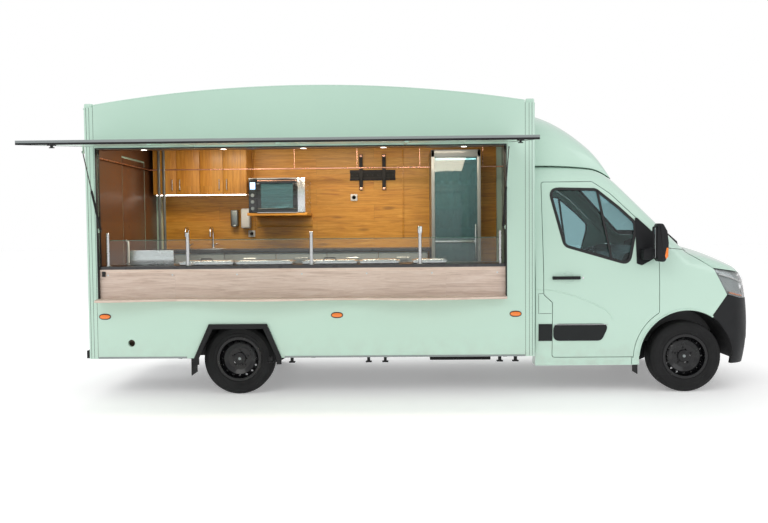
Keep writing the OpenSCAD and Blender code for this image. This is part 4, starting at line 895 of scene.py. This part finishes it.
# ---- Wheels ----
tyre_profile = [(217, -78), (222, -92), (236, -99), (250, -103), (254, -105.5), (258, -103.5), (280, -106.5),
    (298, -105),
                (302, -107), (306, -104.5), (322, -98), (334, -88), (341, -76), (342.5, -62), (342.7, -48), (334,
                    -46.5), (334, -38.5),
                (342.8, -37), (343, -14), (334.5, -12.5), (334.5, -4), (343, -2.5)]
tyre_profile += [(r, -h) for r, h in tyre_profile[::-1]] + [(212, 70), (212, -70)]
for end, x, yc in (("front", 0.0, 875.0), ("rear", REAR_AXLE, 865.0)):
    for side, s in (("right", -1.0), ("left", 1.0)):
        wheel, at, out = "%s_wheel_%s" % (end, side), (x, s * yc, HUB), (0, s, 0)
        tyre = Parts().turned(tyre_profile, out, at, 128, True)
        tyre.made("tyre_%s_%s" % (end, side), "tyre", wheel, 28, ("%s_tyre_%s" % (end, side),))
        cap = Parts().turned([(34, 38), (40, 44), (58, 46), (60, 50), (56, 56), (34, 62), (32, 60), (0, 60)], out,
            at, 48)
        for k in range(5):
            a = 2 * math.pi * (k + 0.25) / 5
            p = (x + math.cos(a) * 80, s * yc, HUB + math.sin(a) * 80)
            cap.turned([(11, 38), (11, 52), (9, 56), (0, 56)], out, p, 6)
        cap.made("hub_cap_%s_%s" % (end, side), "wheel", wheel)
        Parts().turned([(15, 58), (15, 62), (13, 64), (0, 65)], out, at, 36).made("hub_centre_%s_%s" % (end, side),
            "alu", wheel)
        valve = Parts().tube([(x + 150, s * (yc + 60), HUB - 78), (x + 158, s * (yc + 78), HUB - 84)], 4.5)
        valve.made("valve_%s_%s" % (end, side), "rubber", wheel)

# ---- The box's outside ----
MID = (FRONT + REAR) / 2
half = LENGTH / 2 - 100
rise, ends_z = 163.0, 2805.0
radius = (half * half + rise * rise) / (2 * rise)


def fascia_z(x):
    return ends_z + rise - radius + math.sqrt(radius * radius - (x - MID) ** 2)


bead = Parts().swept([(x, -SIDE + 3, fascia_z(x) - 6) for x in np.linspace(MID - half + 2, MID + half - 2, 60)],
                     [(-4, -5), (4, -5), (5, 0), (4, 5), (-4, 5), (-5, 0)], up=(0, 0, 1))
bead.made("fascia_bead", "panel")
flutes = Parts()
for x0, d in ((REAR, 1), (FRONT, -1)):
    for off in (32, 60, 96):
        for s in (-1, 1):
            x, y = x0 + d * off, s * SIDE
            flutes.box((x - 1.5, min(y, y - s * 3), 385),
                (x + 1.5, max(y, y - s * 3) + (0.6 if s > 0 else 0), 2778), 0.5, 1)
            if s < 0:
                flutes.box((x - 1.5, y - 0.8, 385), (x + 1.5, y + 2, 2778), 0.5, 1)
flutes.made("post_lines", "trim")
caps = Parts()
for x0, d in ((REAR, 1), (FRONT, -1)):
    for s in (-1, 1):
        cx, cy = x0 + d * 50, s * (SIDE - 50)
        caps.box((cx - 41, cy - 41, 2770), (cx + 41, cy + 41, 2818), 12, 3)
        caps.box((cx - 47, cy - 47, 2762), (cx + 47, cy + 47, 2774), 4, 2)
caps.made("post_caps", "panel")

hy, hz = FLAP_HINGE


def flap_point(x, inn, down):
    c, s = math.cos(FLAP_TURN), math.sin(FLAP_TURN)
    return (x, hy + inn * c - down * s, hz - inn * s - down * c)


def flap_bar(parts, x0, x1, i0, i1, d0, d1):
    c = [flap_point(x, i, d) for x in (x0, x1) for i in (i0, i1) for d in (d0, d1)]
    return parts.add(c, [(0, 1, 3, 2), (4, 6, 7, 5), (0, 4, 5, 1), (2, 3, 7, 6), (0, 2, 6, 4), (1, 5, 7, 3)])


f0, f1 = OPEN_REAR - 44, OPEN_FRONT + 44
profile = Parts()
flap_bar(profile, f0 - 12, f1 + 12, -25, -6, FLAP_FOOT - 30, FLAP_FOOT + 0.3)
keel = Parts()
flap_bar(keel, f0 - 12, f1 + 12, -6, 8.5, FLAP_FOOT - 32, FLAP_FOOT + 0.3)
keel.made("flap_edge", "frame", "flap")
for a, b in ((f0 - 12, f0 + 26), (f1 - 26, f1 + 12)):
    flap_bar(profile, a, b, -25, 8.5, 24, FLAP_FOOT - 31)
flap_bar(profile, f0 - 6, f1 + 6, -24.5, 8, 22, 46)
profile.made("flap_profile", "alu", "flap")
seal = Parts()
flap_bar(seal, f0 + 30, f1 - 30, 7, 9.5, FLAP_FOOT - 46, FLAP_FOOT - 36)
for a, b in ((f0 + 30, f0 + 40), (f1 - 40, f1 - 30)):
    flap_bar(seal, a, b, 7, 9.5, 60, FLAP_FOOT - 40)
seal.made("flap_seal", "rubber", "flap")
inside_skin = Parts()
flap_bar(inside_skin, f0 + 42, f1 - 42, 6.5, 8.2, 60, FLAP_FOOT - 48)
inside_skin.made("flap_lining", "panel", "flap")
latch = Parts()
for x in (OPEN_REAR + 158, OPEN_FRONT - 66):
    flap_bar(latch, x - 26, x + 26, 8, 14, 1270, 1320)
    flap_bar(latch, x - 8, x + 8, 13, 34, 1286, 1304)
    flap_bar(latch, x - 18, x + 18, 26, 34, 1284, 1306)
latch.made("flap_latches", "rubber", "flap")
ribs = Parts()
for k in range(1, 4):
    x = f0 + (f1 - f0) * k / 4
    flap_bar(ribs, x - 15, x + 15, 8, 20, 70, FLAP_FOOT - 60)
ribs.made("flap_ribs", "panel", "flap")

gasket = Parts()
for lo, hi in (((OPEN_REAR - 8, -SIDE - 5, OPEN_LOW), (OPEN_REAR + 2, -INNER + 4, OPEN_HIGH)),
               ((OPEN_FRONT - 2, -SIDE - 5, OPEN_LOW), (OPEN_FRONT + 8, -INNER + 4, OPEN_HIGH)),
               ((OPEN_REAR - 8, -SIDE - 5, OPEN_HIGH - 2), (OPEN_FRONT + 8, -SIDE + 6, OPEN_HIGH + 10))):
    gasket.box(lo, hi, 2.5)
gasket.made("opening_gasket", "rubber")
jambs = Parts()
for x in (OPEN_REAR + 2, OPEN_FRONT - 9):
    jambs.box((x, -INNER + 4, 1262), (x + 7, -INNER + 40, OPEN_HIGH), 2)
jambs.made("opening_jambs", "frame")
rail = Parts()
rail.box((REAR + 100, -SIDE - 3, 378), (REAR_AXLE - 470, -SIDE + 2, 396), 2).box((REAR_AXLE + 470, -SIDE - 3, 378),
    (FRONT - 100, -SIDE + 2, 396), 2)
sided(rail.flipped(), "skirt_rail", "alu")
hooks = Parts()
for x in (-4010, -3800, -3060, -2900, -1800, -1650):
    hooks.box((x - 14, 1020, 330), (x + 14, 1060, 380), 3).box((x - 30, 1020, 322), (x + 30, 1064, 334), 3)
sided(hooks, "skirt_brackets", "frame")

MARKERS, MARKER_Z = (-5585, -3356, -1656), 785


def oval_point(x, wide, tall, out, a):
    """A point of a flattened oval on the left wall."""
    c = math.cos(a)
    return (x + wide * math.copysign(abs(c) ** 0.75, c), SIDE + out, MARKER_Z + tall * math.sin(a))


oval = Parts()
for x in MARKERS:
    n, verts, faces = 36, [], []
    for j, (k, out) in enumerate(((1.0, -2), (1.0, 6), (0.9, 9.5), (0.6, 11.3), (0.2, 11.9))):
        for i in range(n):
            verts.append(oval_point(x, 50 * k, 21 * k, out, 2 * math.pi * i / n))
    for j in range(4):
        faces += [(j * n + i, j * n + (i + 1) % n, (j + 1) * n + (i + 1) % n, (j + 1) * n + i) for i in range(n)]
    faces.append(tuple(4 * n + i for i in range(n)))
    oval.add(verts, faces)
sided(oval, "side_markers", "amber")
frames = Parts()
for x in MARKERS:
    ring = [oval_point(x, 54, 25, 1, a) for a in np.linspace(0, 2 * math.pi, 37)[:-1]]
    frames.tube(ring, 4, 8, True)
sided(frames, "marker_frames", "rubber")
tail = {"red": Parts(), "amber": Parts(), "lens": Parts(), "rubber": Parts()}
tail["rubber"].box((REAR - 12, 866, 486), (REAR, 984, 782), 6)
for look, z0, z1 in (("red", 690, 776), ("amber", 594, 684), ("lens", 548, 588), ("red", 494, 542)):
    tail[look].box((REAR - 22, 873, z0), (REAR - 6, 977, z1), 8, 3)
for look, shape in tail.items():
    sided(shape, "tail_lamp_" + look, look)
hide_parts("lamps")
reflect = Parts().box((REAR - 29.5, 760, 400), (REAR - 26, 860, 436), 2)
sided(reflect, "rear_reflectors", "red")
Parts().box((REAR - 8, -860, 560), (REAR - 3, -340, 680), 4).made("rear_plate", "plate")
Parts().box((REAR - 4, -872, 548), (REAR + 1, -328, 692), 4).made("rear_plate_frame", "plastic")
high = Parts().box((REAR - 8, -300, 2600), (REAR, 300, 2630), 5)
high.made("high_brake_light", "red")
edge = [(REAR - 2, y, z) for y, z in rounded_outline([(-172, 484), (-172, 2404), (568, 2404), (568, 484)], 8)]
Parts().tube(edge, 5, 8, True).made("rear_door_seal", "rubber")
reach = ((0, 1130), (14, 1140), (17, 1170), (17, 1310), (14, 1340), (0, 1350))
pull = Parts().tube([(REAR - d, -110, z) for d, z in reach], 5, 12)
pull.box((REAR - 8, -135, 1380), (REAR + 1, -85, 1500), 5)
pull.made("rear_door_handle", "plastic", "rear_door")
inner_pull = Parts().tube([(REAR + 34, -96, 1245), (REAR + 62, -96, 1262), (REAR + 62, -96, 1488),
    (REAR + 34, -96, 1505)], 11, 14)
inner_pull.made("rear_door_grab", "white", "rear_door")
Parts().box((REAR + 35, -160, 492), (REAR + 39, 556, 2392), 1).made("rear_door_lining", "walnut", "rear_door")
louvre = Parts().box((-2300, 1099, 560), (-1900, 1108, 860), 4)
for k in range(9):
    z = 586 + k * 29
    louvre.swept([(-2285, 1109, z), (-1915, 1109, z)], [(-1, -10), (3, -4), (3, 8), (-3, 8)], up=(0, 0, 1))
louvre.made("side_vent", "plastic")
vent = Parts().turned([(170, 0), (170, 22), (150, 60), (90, 78), (0, 84)], (0, 0, 1), (-4200, 450, 2700), 40)
vent.turned([(196, 0), (196, 8), (170, 10), (0, 10)], (0, 0, 1), (-4200, 450, 2700), 40)
vent.made("roof_vent", "plastic")
hatch = Parts().box((-3000, -250, 2698), (-2400, 250, 2740), 18, 3)
hatch.made("roof_hatch", "white")
beads = Parts()
for x in np.arange(REAR + 250, FRONT - 100, 520.0):
    beads.box((float(x) - 12, -1040, 2699), (float(x) + 12, 1040, 2704), 2)
beads.made("roof_ribs", "panel")

# Deflector above the cab, with the CAD ring's shape and closer rings
def lift_of(s):
    return 2160 + 520 * (1 - s ** 1.5) ** 0.85


def deflector_ring(x, half_w, rise_by, steps=56):
    def side_y(half_w, a):
        c = math.cos(a)
        return half_w * math.copysign(abs(c) ** 0.55, c)
    ring = []
    for i in range(steps + 1):
        a = math.pi * i / steps
        y = side_y(half_w - 25, a)
        ring.append((x, y, float(top_z(x, y)) + 7 + max(rise_by - 25, 0) * abs(math.sin(a)) ** 0.5))
    for i in range(steps + 1):
        a = math.pi * (1 - i / steps)
        y = side_y(half_w, a)
        ring.append((x, y, float(top_z(x, y)) + 15 + rise_by * abs(math.sin(a)) ** 0.5))
    return ring


DEFLECTOR_TIP = -640
rings = [deflector_ring(FRONT + 0.3 + (DEFLECTOR_TIP - FRONT) * s, 800 - 150 * s ** 2.5,
    max(lift_of(s) - lift_of(1), 1))
         for s in np.linspace(0, 1, 40)]
n = len(rings[0])
faces = []
for j in range(len(rings) - 1):
    faces += [(j * n + i, j * n + (i + 1) % n, (j + 1) * n + (i + 1) % n, (j + 1) * n + i) for i in range(n)]
k = n // 2
for base_i, order in ((0, 1), ((len(rings) - 1) * n, -1)):
    for i in range(k - 1):
        faces.append(tuple(base_i + q for q in (i, i + 1, n - 2 - i, n - 1 - i)[::order]))
Parts().add([p for ring in rings for p in ring], faces).made("deflector_shell", "body", sharp=50,
    replaces=("roof_deflector",))

# ---- The room ----
IN = INNER - 1
room = Parts()
for x0, x1, z0 in ((REAR + 100, -4800, FLOOR), (-4800, -3864, 752), (-3864, FRONT - 36, FLOOR)):
    room.box((x0, IN - 5, z0), (x1, IN, LINING_TOP), 0)
room.made("left_lining", "oak")
Parts().box((REAR + 36, -1000, FLOOR), (REAR + 41, -178, LINING_TOP), 0.5, 1).box((REAR + 36, 574, FLOOR),
    (REAR + 41, 1000, LINING_TOP), 0.5, 1).box(
    (REAR + 36, -178, 2410), (REAR + 41, 574, LINING_TOP), 0.5, 1).made("rear_lining", "walnut")
Parts().box((FRONT - 41, -1000, FLOOR), (FRONT - 36, 1000, LINING_TOP), 0.5, 1).made("front_lining", "inner_grey")
Parts().box((REAR + 36, -IN, 2652), (FRONT - 36, IN, 2659), 0.5, 1).made("ceiling", "white")
Parts().box((REAR + 101, -IN, 2386), (FRONT - 101, -IN + 5, LINING_TOP), 0.5, 1).made("lintel_lining", "white")
posts = Parts()
for x in (OPEN_REAR + 118, OPEN_REAR + 60):
    posts.box((x - 14, 668, FLOOR), (x + 14, 696, 2650), 4)
posts.made("inner_posts", "alu")
copper = Parts().tube([(REAR + 60, 694, 2322), (FRONT - 60, 694, 2322)], 9, 14)
copper.tube([(REAR + 60, -980, 2322), (REAR + 60, 694, 2322)], 9, 14)
for x in np.linspace(REAR + 300, FRONT - 300, 6):
    copper.tube([(float(x), 694, 2322), (float(x), 694, LINING_TOP)], 4, 8)
copper.made("hanging_rail", "copper")
conduit = Parts()
for x in (-2700, -4520):
    conduit.box((x - 9, IN - 16, 1500), (x + 9, IN - 4, 2650), 3)
conduit.made("cable_ducts", "oak")

CUP_Y, CUP_X0, CUP_X1 = 705.0, REAR + 101.0, -4546.0
doors, grips = Parts(), Parts()
step = (CUP_X1 - CUP_X0) / 4
for k in range(4):
    a, b = CUP_X0 + k * step + 2, CUP_X0 + (k + 1) * step - 2
    doors.box((a, CUP_Y - 16, 2034), (b, CUP_Y + 1, 2652), 2.5)
    grip_x = b - 42 if k % 2 == 0 else a + 42
    grips.tube([(grip_x, CUP_Y - 14, 2078), (grip_x, CUP_Y - 36, 2086), (grip_x, CUP_Y - 36, 2198),
        (grip_x, CUP_Y - 14, 2206)], 6, 10)
doors.made("cupboard_doors", "cupboard")
grips.made("cupboard_handles", "steel")
Parts().box((CUP_X0 + 20, CUP_Y + 30, 2020), (CUP_X1 - 20, CUP_Y + 60, 2029), 2).made("cupboard_light", "led")

# Combi oven on its shelf
ox, oy = -4480.0, 465.0
Parts().box((ox, oy - 12, 1800), (ox + 96, oy, 2200), 5).made("oven_controls", "dark")
Parts().box((ox + 562, oy - 12, 1800), (ox + 650, oy, 2200), 5).made("oven_side", "pan")
door_ring = Parts().box((ox + 98, oy - 26, 1808), (ox + 560, oy - 2, 1852), 6).box((ox + 98, oy - 26, 2136),
    (ox + 560, oy - 2, 2192), 6)
door_ring.box((ox + 98, oy - 26, 1850), (ox + 146, oy - 2, 2138), 6).box((ox + 512, oy - 26, 1850),
    (ox + 560, oy - 2, 2138), 6)
door_ring.made("oven_door_frame", "dark")
Parts().box((ox + 144, oy - 22, 1850), (ox + 514, oy - 12, 2138), 2).made("oven_door_glass", "teal_glass")
grip = [(ox + a, oy - b, 2164) for a, b in ((112, 28), (112, 52), (546, 52), (546, 28))]
Parts().tube(grip, 9, 14).made("oven_handle", "copper")
racks = Parts()
for z in (1880, 1950, 2020, 2090):
    for y in np.linspace(oy + 60, oy + 480, 10):
        racks.tube([(ox + 150, float(y), z), (ox + 520, float(y), z)], 3, 6)
racks.made("oven_racks", "steel")
knobs = Parts()
for z in (1850, 1925, 2000):
    knobs.turned([(22, 0), (22, 12), (19, 18), (0, 18)], (0, -1, 0), (ox + 48, oy - 12, z), 28)
knobs.made("oven_knobs", "alu")
Parts().box((ox + 18, oy - 15, 2070), (ox + 78, oy - 11, 2150), 3).made("oven_display", "led_blue")
Parts().box((ox - 20, oy - 6, 1768), (ox + 670, 1060, 1801), 4).box((ox - 20, 1040, 1640), (ox + 670, 1059, 1770),
    4).made("oven_shelf", "oak")
socket = Parts()
for x, z in ((-4560, 1560), (-3300, 1990)):
    socket.box((x - 42, IN - 22, z - 42), (x + 42, IN - 4, z + 42), 8, 3)
    socket.turned([(28, 0), (28, 3), (20, -2), (0, -4)], (0, -1, 0), (x, IN - 22, z), 28)
socket.made("wall_sockets", "white")
Parts().turned([(18, 0), (18, 30), (12, 38), (0, 38)], (0, -1, 0), (-4560, IN - 24, 1560), 24).made("oven_plug",
    "rubber")
soap = Parts().box((-4800, IN - 110, 1650), (-4712, IN - 4, 1850), 14, 3)
soap.box((-4782, IN - 122, 1640), (-4730, IN - 60, 1668), 8)
soap.made("soap_dispenser", "alu")
towel = Parts().box((-4672, IN - 130, 1625), (-4560, IN - 4, 1868), 24, 4)
towel.made("towel_dispenser", "white")

# Back counter, sink and taps
top = 1380.0
bench = Parts()
for lo, hi in (((-5655, 605, top - 40), (-5210, 1062, top)), ((-4850, 605, top - 40), (-2392, 1062, top)),
               ((-5211, 605, top - 40), (-4849, 685, top)), ((-5211, 975, top - 40), (-4849, 1062, top))):
    bench.box(lo, hi, 3)
bench.made("bench_top", "worktop", replaces=("back_counter",))
front = Parts()
xs = [-5650, -5250, -4810, -4200, -3600, -3000, -2420]
for a, b in zip(xs, xs[1:]):
    front.box((a + 3, 622, 520), (b - 3, 640, top - 46), 3)
front.made("bench_fronts", "inner_grey")
Parts().box((-5650, 700, 482), (-2420, 720, 520), 2).made("bench_plinth", "frame")
pulls = Parts()
for a, b in zip(xs, xs[1:]):
    pulls.tube([((a + b) / 2 + d, y, 1270) for d, y in ((-70, 622), (-70, 596), (70, 596), (70, 622))], 6, 10)
pulls.made("bench_pulls", "steel")
basin = Parts()
basin.box((-5215, 681, top - 4), (-5200, 979, top + 4), 2).box((-4860, 681, top - 4), (-4845, 979, top + 4), 2)
basin.box((-5215, 681, top - 4), (-4845, 696, top + 4), 2).box((-5215, 964, top - 4), (-4845, 979, top + 4), 2)
basin.box((-5210, 686, top - 188), (-4850, 974, top - 182), 2)
for lo, hi in (((-5212, 684, top - 186), (-5206, 976, top)), ((-4854, 684, top - 186), (-4848, 976, top)),
               ((-5212, 684, top - 186), (-4848, 690, top)), ((-5212, 970, top - 186), (-4848, 976, top))):
    basin.box(lo, hi, 1)
basin.made("basin", "pan")
taps = Parts()
for x in (-5330, -5030):
    neck = [(x, 940 + 75 * math.cos(a), top + 190 + 78 * math.sin(a)) for a in np.linspace(0.2, math.pi, 12)]
    taps.tube([(x, 1015, top), (x, 1015, top + 190)] + neck + [(x, 865, top + 150)], 9, 14)
    taps.turned([(24, 0), (24, 10), (14, 18), (14, 60), (0, 60)], (0, 0, 1), (x, 1015, top), 28)
    taps.tube([(x + 12, 1015, top + 40), (x + 58, 1002, top + 66)], 6, 10)
taps.made("taps", "chrome")

# Serving counter
trays, tray_dark = Parts(), Parts()
for x0, x1 in ((-4905, -4380), (-4350, -3800), (-3700, -3170), (-3140, -2760), (-2620, -2300)):
    trays.box((x0, -930, COUNTER), (x1, -600, COUNTER + 30), 6, 3)
    trays.box((x0 - 9, -939, COUNTER + 26), (x1 + 9, -591, COUNTER + 33), 2)
    trays.box((x0 + 24, -904, COUNTER + 30), (x1 - 24, -626, COUNTER + 42), 10, 3)
trays.made("counter_trays", "pan")
for x0, x1 in ((-4905, -4380), (-3700, -3170)):
    mid = (x0 + x1) / 2
    tray_dark.tube([(mid + d, -906, COUNTER + h) for d, h in ((-60, 40), (-50, 64), (50, 64), (60, 40))], 6, 10)
tray_dark.made("tray_handles", "rubber")
splash = Parts().box((-5450, -760, COUNTER), (-5010, -752, COUNTER + 148), 2).box((-5450, -760, COUNTER),
    (-5442, -560, COUNTER + 148), 2)
splash.box((-5450, -760, COUNTER), (-5010, -560, COUNTER + 6), 2)
splash.made("splash_plate", "pan")
edges = Parts()
guard_x = [OPEN_REAR + 60, OPEN_REAR + 836, OPEN_REAR + 2035, OPEN_REAR + 3083, OPEN_FRONT - 40]
for a, b in zip(guard_x, guard_x[1:]):
    edges.box((a + 18, -999, 1511), (b - 18, -991, 1517), 2)
edges.made("guard_edge", "green_edge")
knob = Parts()
for x in guard_x[:-1]:
    knob.turned([(17, 0), (17, 5), (14, 9), (0, 10)], (0, 0, 1), (x, -995, 1576), 28)
    knob.turned([(30, 0), (30, 4), (20, 9), (16.5, 9)], (0, 0, 1), (x, -995, COUNTER), 28)
knob.turned([(24, 0), (24, 58), (20, 66), (0, 66)], (0, 0, 1), (guard_x[3], -995, 1560), 28)
knob.made("guard_caps", "chrome")
front_edge = Parts().box((OPEN_REAR + 2, -IN - 0.5, COUNTER - 30), (OPEN_FRONT - 2, -IN + 24, COUNTER + 2), 3)
front_edge.made("counter_edge", "trim")


screws = Parts()
for x in np.linspace(OPEN_REAR + 80, OPEN_FRONT - 80, 7):
    screws.turned([(9, 0), (9, 2), (6, 4), (0, 4)], (0, -1, 0), (float(x), -IN - 0.5, 1180), 16)
screws.made("apron_screws", "steel")
Parts().box((OPEN_REAR + 26, -1080, 1166), (OPEN_REAR + 58, -1062, 1216), 5).box((OPEN_REAR + 36, -1092, 1184),
    (OPEN_REAR + 48, -1078, 1200), 3).made("apron_latch", "rubber")

# Lintel strip with its spots
spots, rings_of = Parts(), Parts()
for k in range(5):
    at = (OPEN_REAR + 430 + k * 770, -IN + 75, 2386)
    spots.turned([(30, 4), (30, 0), (0, 0)], (0, 0, 1), (at[0], at[1], 2387), 32)
    rings_of.turned([(33.5, 8), (33.5, -1), (42, -1), (42, -3), (29, -3), (29, 8)], (0, 0, 1), at, 32, True)
spots.made("lintel_spots", "led")
rings_of.made("spot_rings", "chrome")

# Wall bracket
arms = Parts()
for x in (-3210, -2930):
    arms.box((x - 22, 1033, 2078), (x + 22, 1040, 2512), 3)
arms.box((-3347, 1048, 2196), (-2791, 1052, 2232), 3).box((-3347, 1048, 2288), (-2791, 1052, 2324), 3)
for k in range(9):
    arms.turned([(9, 0), (9, 3), (5, 4), (0, 4)], (0, -1, 0), (-3320 + k * 62.5, 1049, 2260), 12)
arms.made("bracket_arms", "rubber")
tips = Parts()
for x in (-3210, -2930):
    tips.box((x - 16, 1031, 2082), (x + 16, 1036, 2110), 3).box((x - 16, 1031, 2480), (x + 16, 1036, 2508), 3)
tips.made("bracket_tips", "copper")

# Fridge
fx0, fx1, fy = -2380.0, -1815.0, 465.0
rim_f = Parts().box((fx0, fy - 10, 482), (fx0 + 40, fy + 4, 2500), 5).box((fx1 - 40, fy - 10, 482),
    (fx1, fy + 4, 2500), 5)
rim_f.box((fx0, fy - 10, 2416), (fx1, fy + 4, 2500), 5).box((fx0, fy - 10, 482), (fx1, fy + 4, 600), 5)
rim_f.made("fridge_frame", "inner_grey")
Parts().box((fx0 + 38, fy - 4, 602), (fx1 - 38, fy + 3, 2414), 2).made("fridge_pane", "teal_glass")
Parts().box((fx0 + 60, fy + 30, 2380), (fx1 - 60, fy + 60, 2396), 3).made("fridge_light", "led")
Parts().box((fx0 + 40, fy - 13, 1440), (fx1 - 40, fy - 3, 1462), 3).box((fx1 - 70, fy - 34, 1250),
    (fx1 - 54, fy - 10, 1650), 6).made("fridge_bar", "pan")
shelves, goods = Parts(), Parts()
for z in (840, 1090, 1340, 1590, 1840, 2090):
    shelves.box((fx0 + 38, fy + 20, z), (fx1 - 38, 1010, z + 10), 2)
    for k in range(5):
        r = 26 + 5 * ((k * 7 + int(z)) % 3)
        goods.turned([(r, 0), (r, 118), (r * 0.5, 160), (r * 0.42, 196), (0, 196)], (0, 0, 1),
            (fx0 + 90 + k * 95, fy + 90 + 20 * (k % 2), z + 10), 20)
shelves.made("fridge_shelves", "steel")
goods.made("fridge_bottles", "bottle")

# ---- Looks of the CAD pieces that stay ----
LOOKS = {
    "panel": ("box_left_wall", "box_serving_wall", "box_front_wall", "box_rear_wall", "corner_posts", "roof_fascia",
              "serving_flap", "rear_door", "box_roof"),
    "frame": ("chassis_rails", "crossmembers", "rear_axle", "wheel_arches", "fuel_tank", "rear_bumper",
        "knuckle_left",
              "knuckle_right", "strut_barrel_front", "strut_barrel_rear", "monitor_bracket"),
    "wheel": ("front_rim_left", "front_rim_right", "rear_rim_left", "rear_rim_right"),
    "dark": ("strut_rod_front", "strut_rod_rear"),
    "steel": ("guard_posts",), "pan": ("combi_oven", "rear_step"), "alu": ("fridge",), "glass": ("guard_glass",
        "appliance_glass"),
    "engine": ("engine",), "trim": ("dashboard",), "plastic": ("steering_wheel",), "floor": ("box_floor",),
    "worktop": ("counter",), "pale": ("counter_apron",), "walnut": ("light_strip",), "cupboard": ("wall_cupboards",),
}
for look, names in LOOKS.items():
    for name in names:
        mesh = nodes[name].data
        mesh.materials.clear()
        mesh.materials.append(M[look])

# ---- Floor, light and camera ----
shine = M["ground"].node_tree.nodes["Principled BSDF"]
shine.inputs["Emission Color"].default_value = (1, 1, 1, 1)
shine.inputs["Emission Strength"].default_value = 0.27
ground = bpy.data.meshes.new("ground")
ground.from_pydata([(-60, -60, 0), (60, -60, 0), (60, 60, 0), (-60, 60, 0)], [], [(0, 1, 2, 3)])
ground.materials.append(M["ground"])
ground_obj = bpy.data.objects.new("ground", ground)
bpy.context.scene.collection.objects.link(ground_obj)


def area(name, at, aim, size, power, color=(1, 1, 1)):
    data = bpy.data.lights.new(name, "AREA")
    data.shape, data.size, data.size_y = "RECTANGLE", size[0], size[1]
    data.energy, data.color = power, color
    obj = bpy.data.objects.new(name, data)
    obj.location = at
    obj.rotation_euler = (Vector(aim) - Vector(at)).to_track_quat("-Z", "Y").to_euler()
    bpy.context.scene.collection.objects.link(obj)


area("key", (-4.5, -9.0, 8.0), (0, 0, 1.2), (7, 5), 260, (1.0, 0.985, 0.96))
area("fill", (9.0, -5.0, 5.0), (0, 0, 1.2), (6, 5), 110, (0.96, 0.98, 1.0))
area("back", (-3.0, 9.0, 6.0), (0, 0, 1.5), (7, 4), 160)
for x in (-4700, -3500, -2300):
    at = row((x, -250, 2640))[0]
    area("ceiling_light_%d" % -x, at, (at[0], at[1], 0), (0.9, 0.5), 24, (1.0, 0.86, 0.66))

cam = bpy.data.cameras.new("camera")
cam_obj = bpy.data.objects.new("camera", cam)
bpy.context.scene.collection.objects.link(cam_obj)
cam.lens, cam.sensor_width, cam.sensor_fit = 36.63, 36.0, "HORIZONTAL"
cam.clip_end = 200
yaw, pitch, roll = 0.01736, -0.04159, -0.00928
look = Vector((-math.sin(yaw) * math.cos(pitch), math.cos(yaw) * math.cos(pitch), math.sin(pitch)))
right = Vector((math.cos(yaw), math.sin(yaw), 0))
up = right.cross(look)
right, up = right * math.cos(roll) + up * math.sin(roll), up * math.cos(roll) - right * math.sin(roll)
eye = Vector(row((-2774, -8525, 1602))[0])
turned = Matrix((right, up, -look)).transposed().to_4x4()
cam_obj.matrix_world = Matrix.Translation(eye) @ turned
bpy.context.scene.camera = cam_obj
world = bpy.data.worlds.new("studio")
bpy.context.scene.world = world
world.use_nodes = True
world.node_tree.nodes["Background"].inputs[0].default_value = (1, 1, 1, 1)
seen = world.node_tree.nodes.new("ShaderNodeLightPath")
glow = world.node_tree.nodes.new("ShaderNodeMapRange")
glow.inputs["To Min"].default_value = 0.80
glow.inputs["To Max"].default_value = 1.0
world.node_tree.links.new(seen.outputs["Is Camera Ray"], glow.inputs["Value"])
world.node_tree.links.new(glow.outputs[0], world.node_tree.nodes["Background"].inputs[1])
bpy.context.scene.view_settings.view_transform = "Standard"
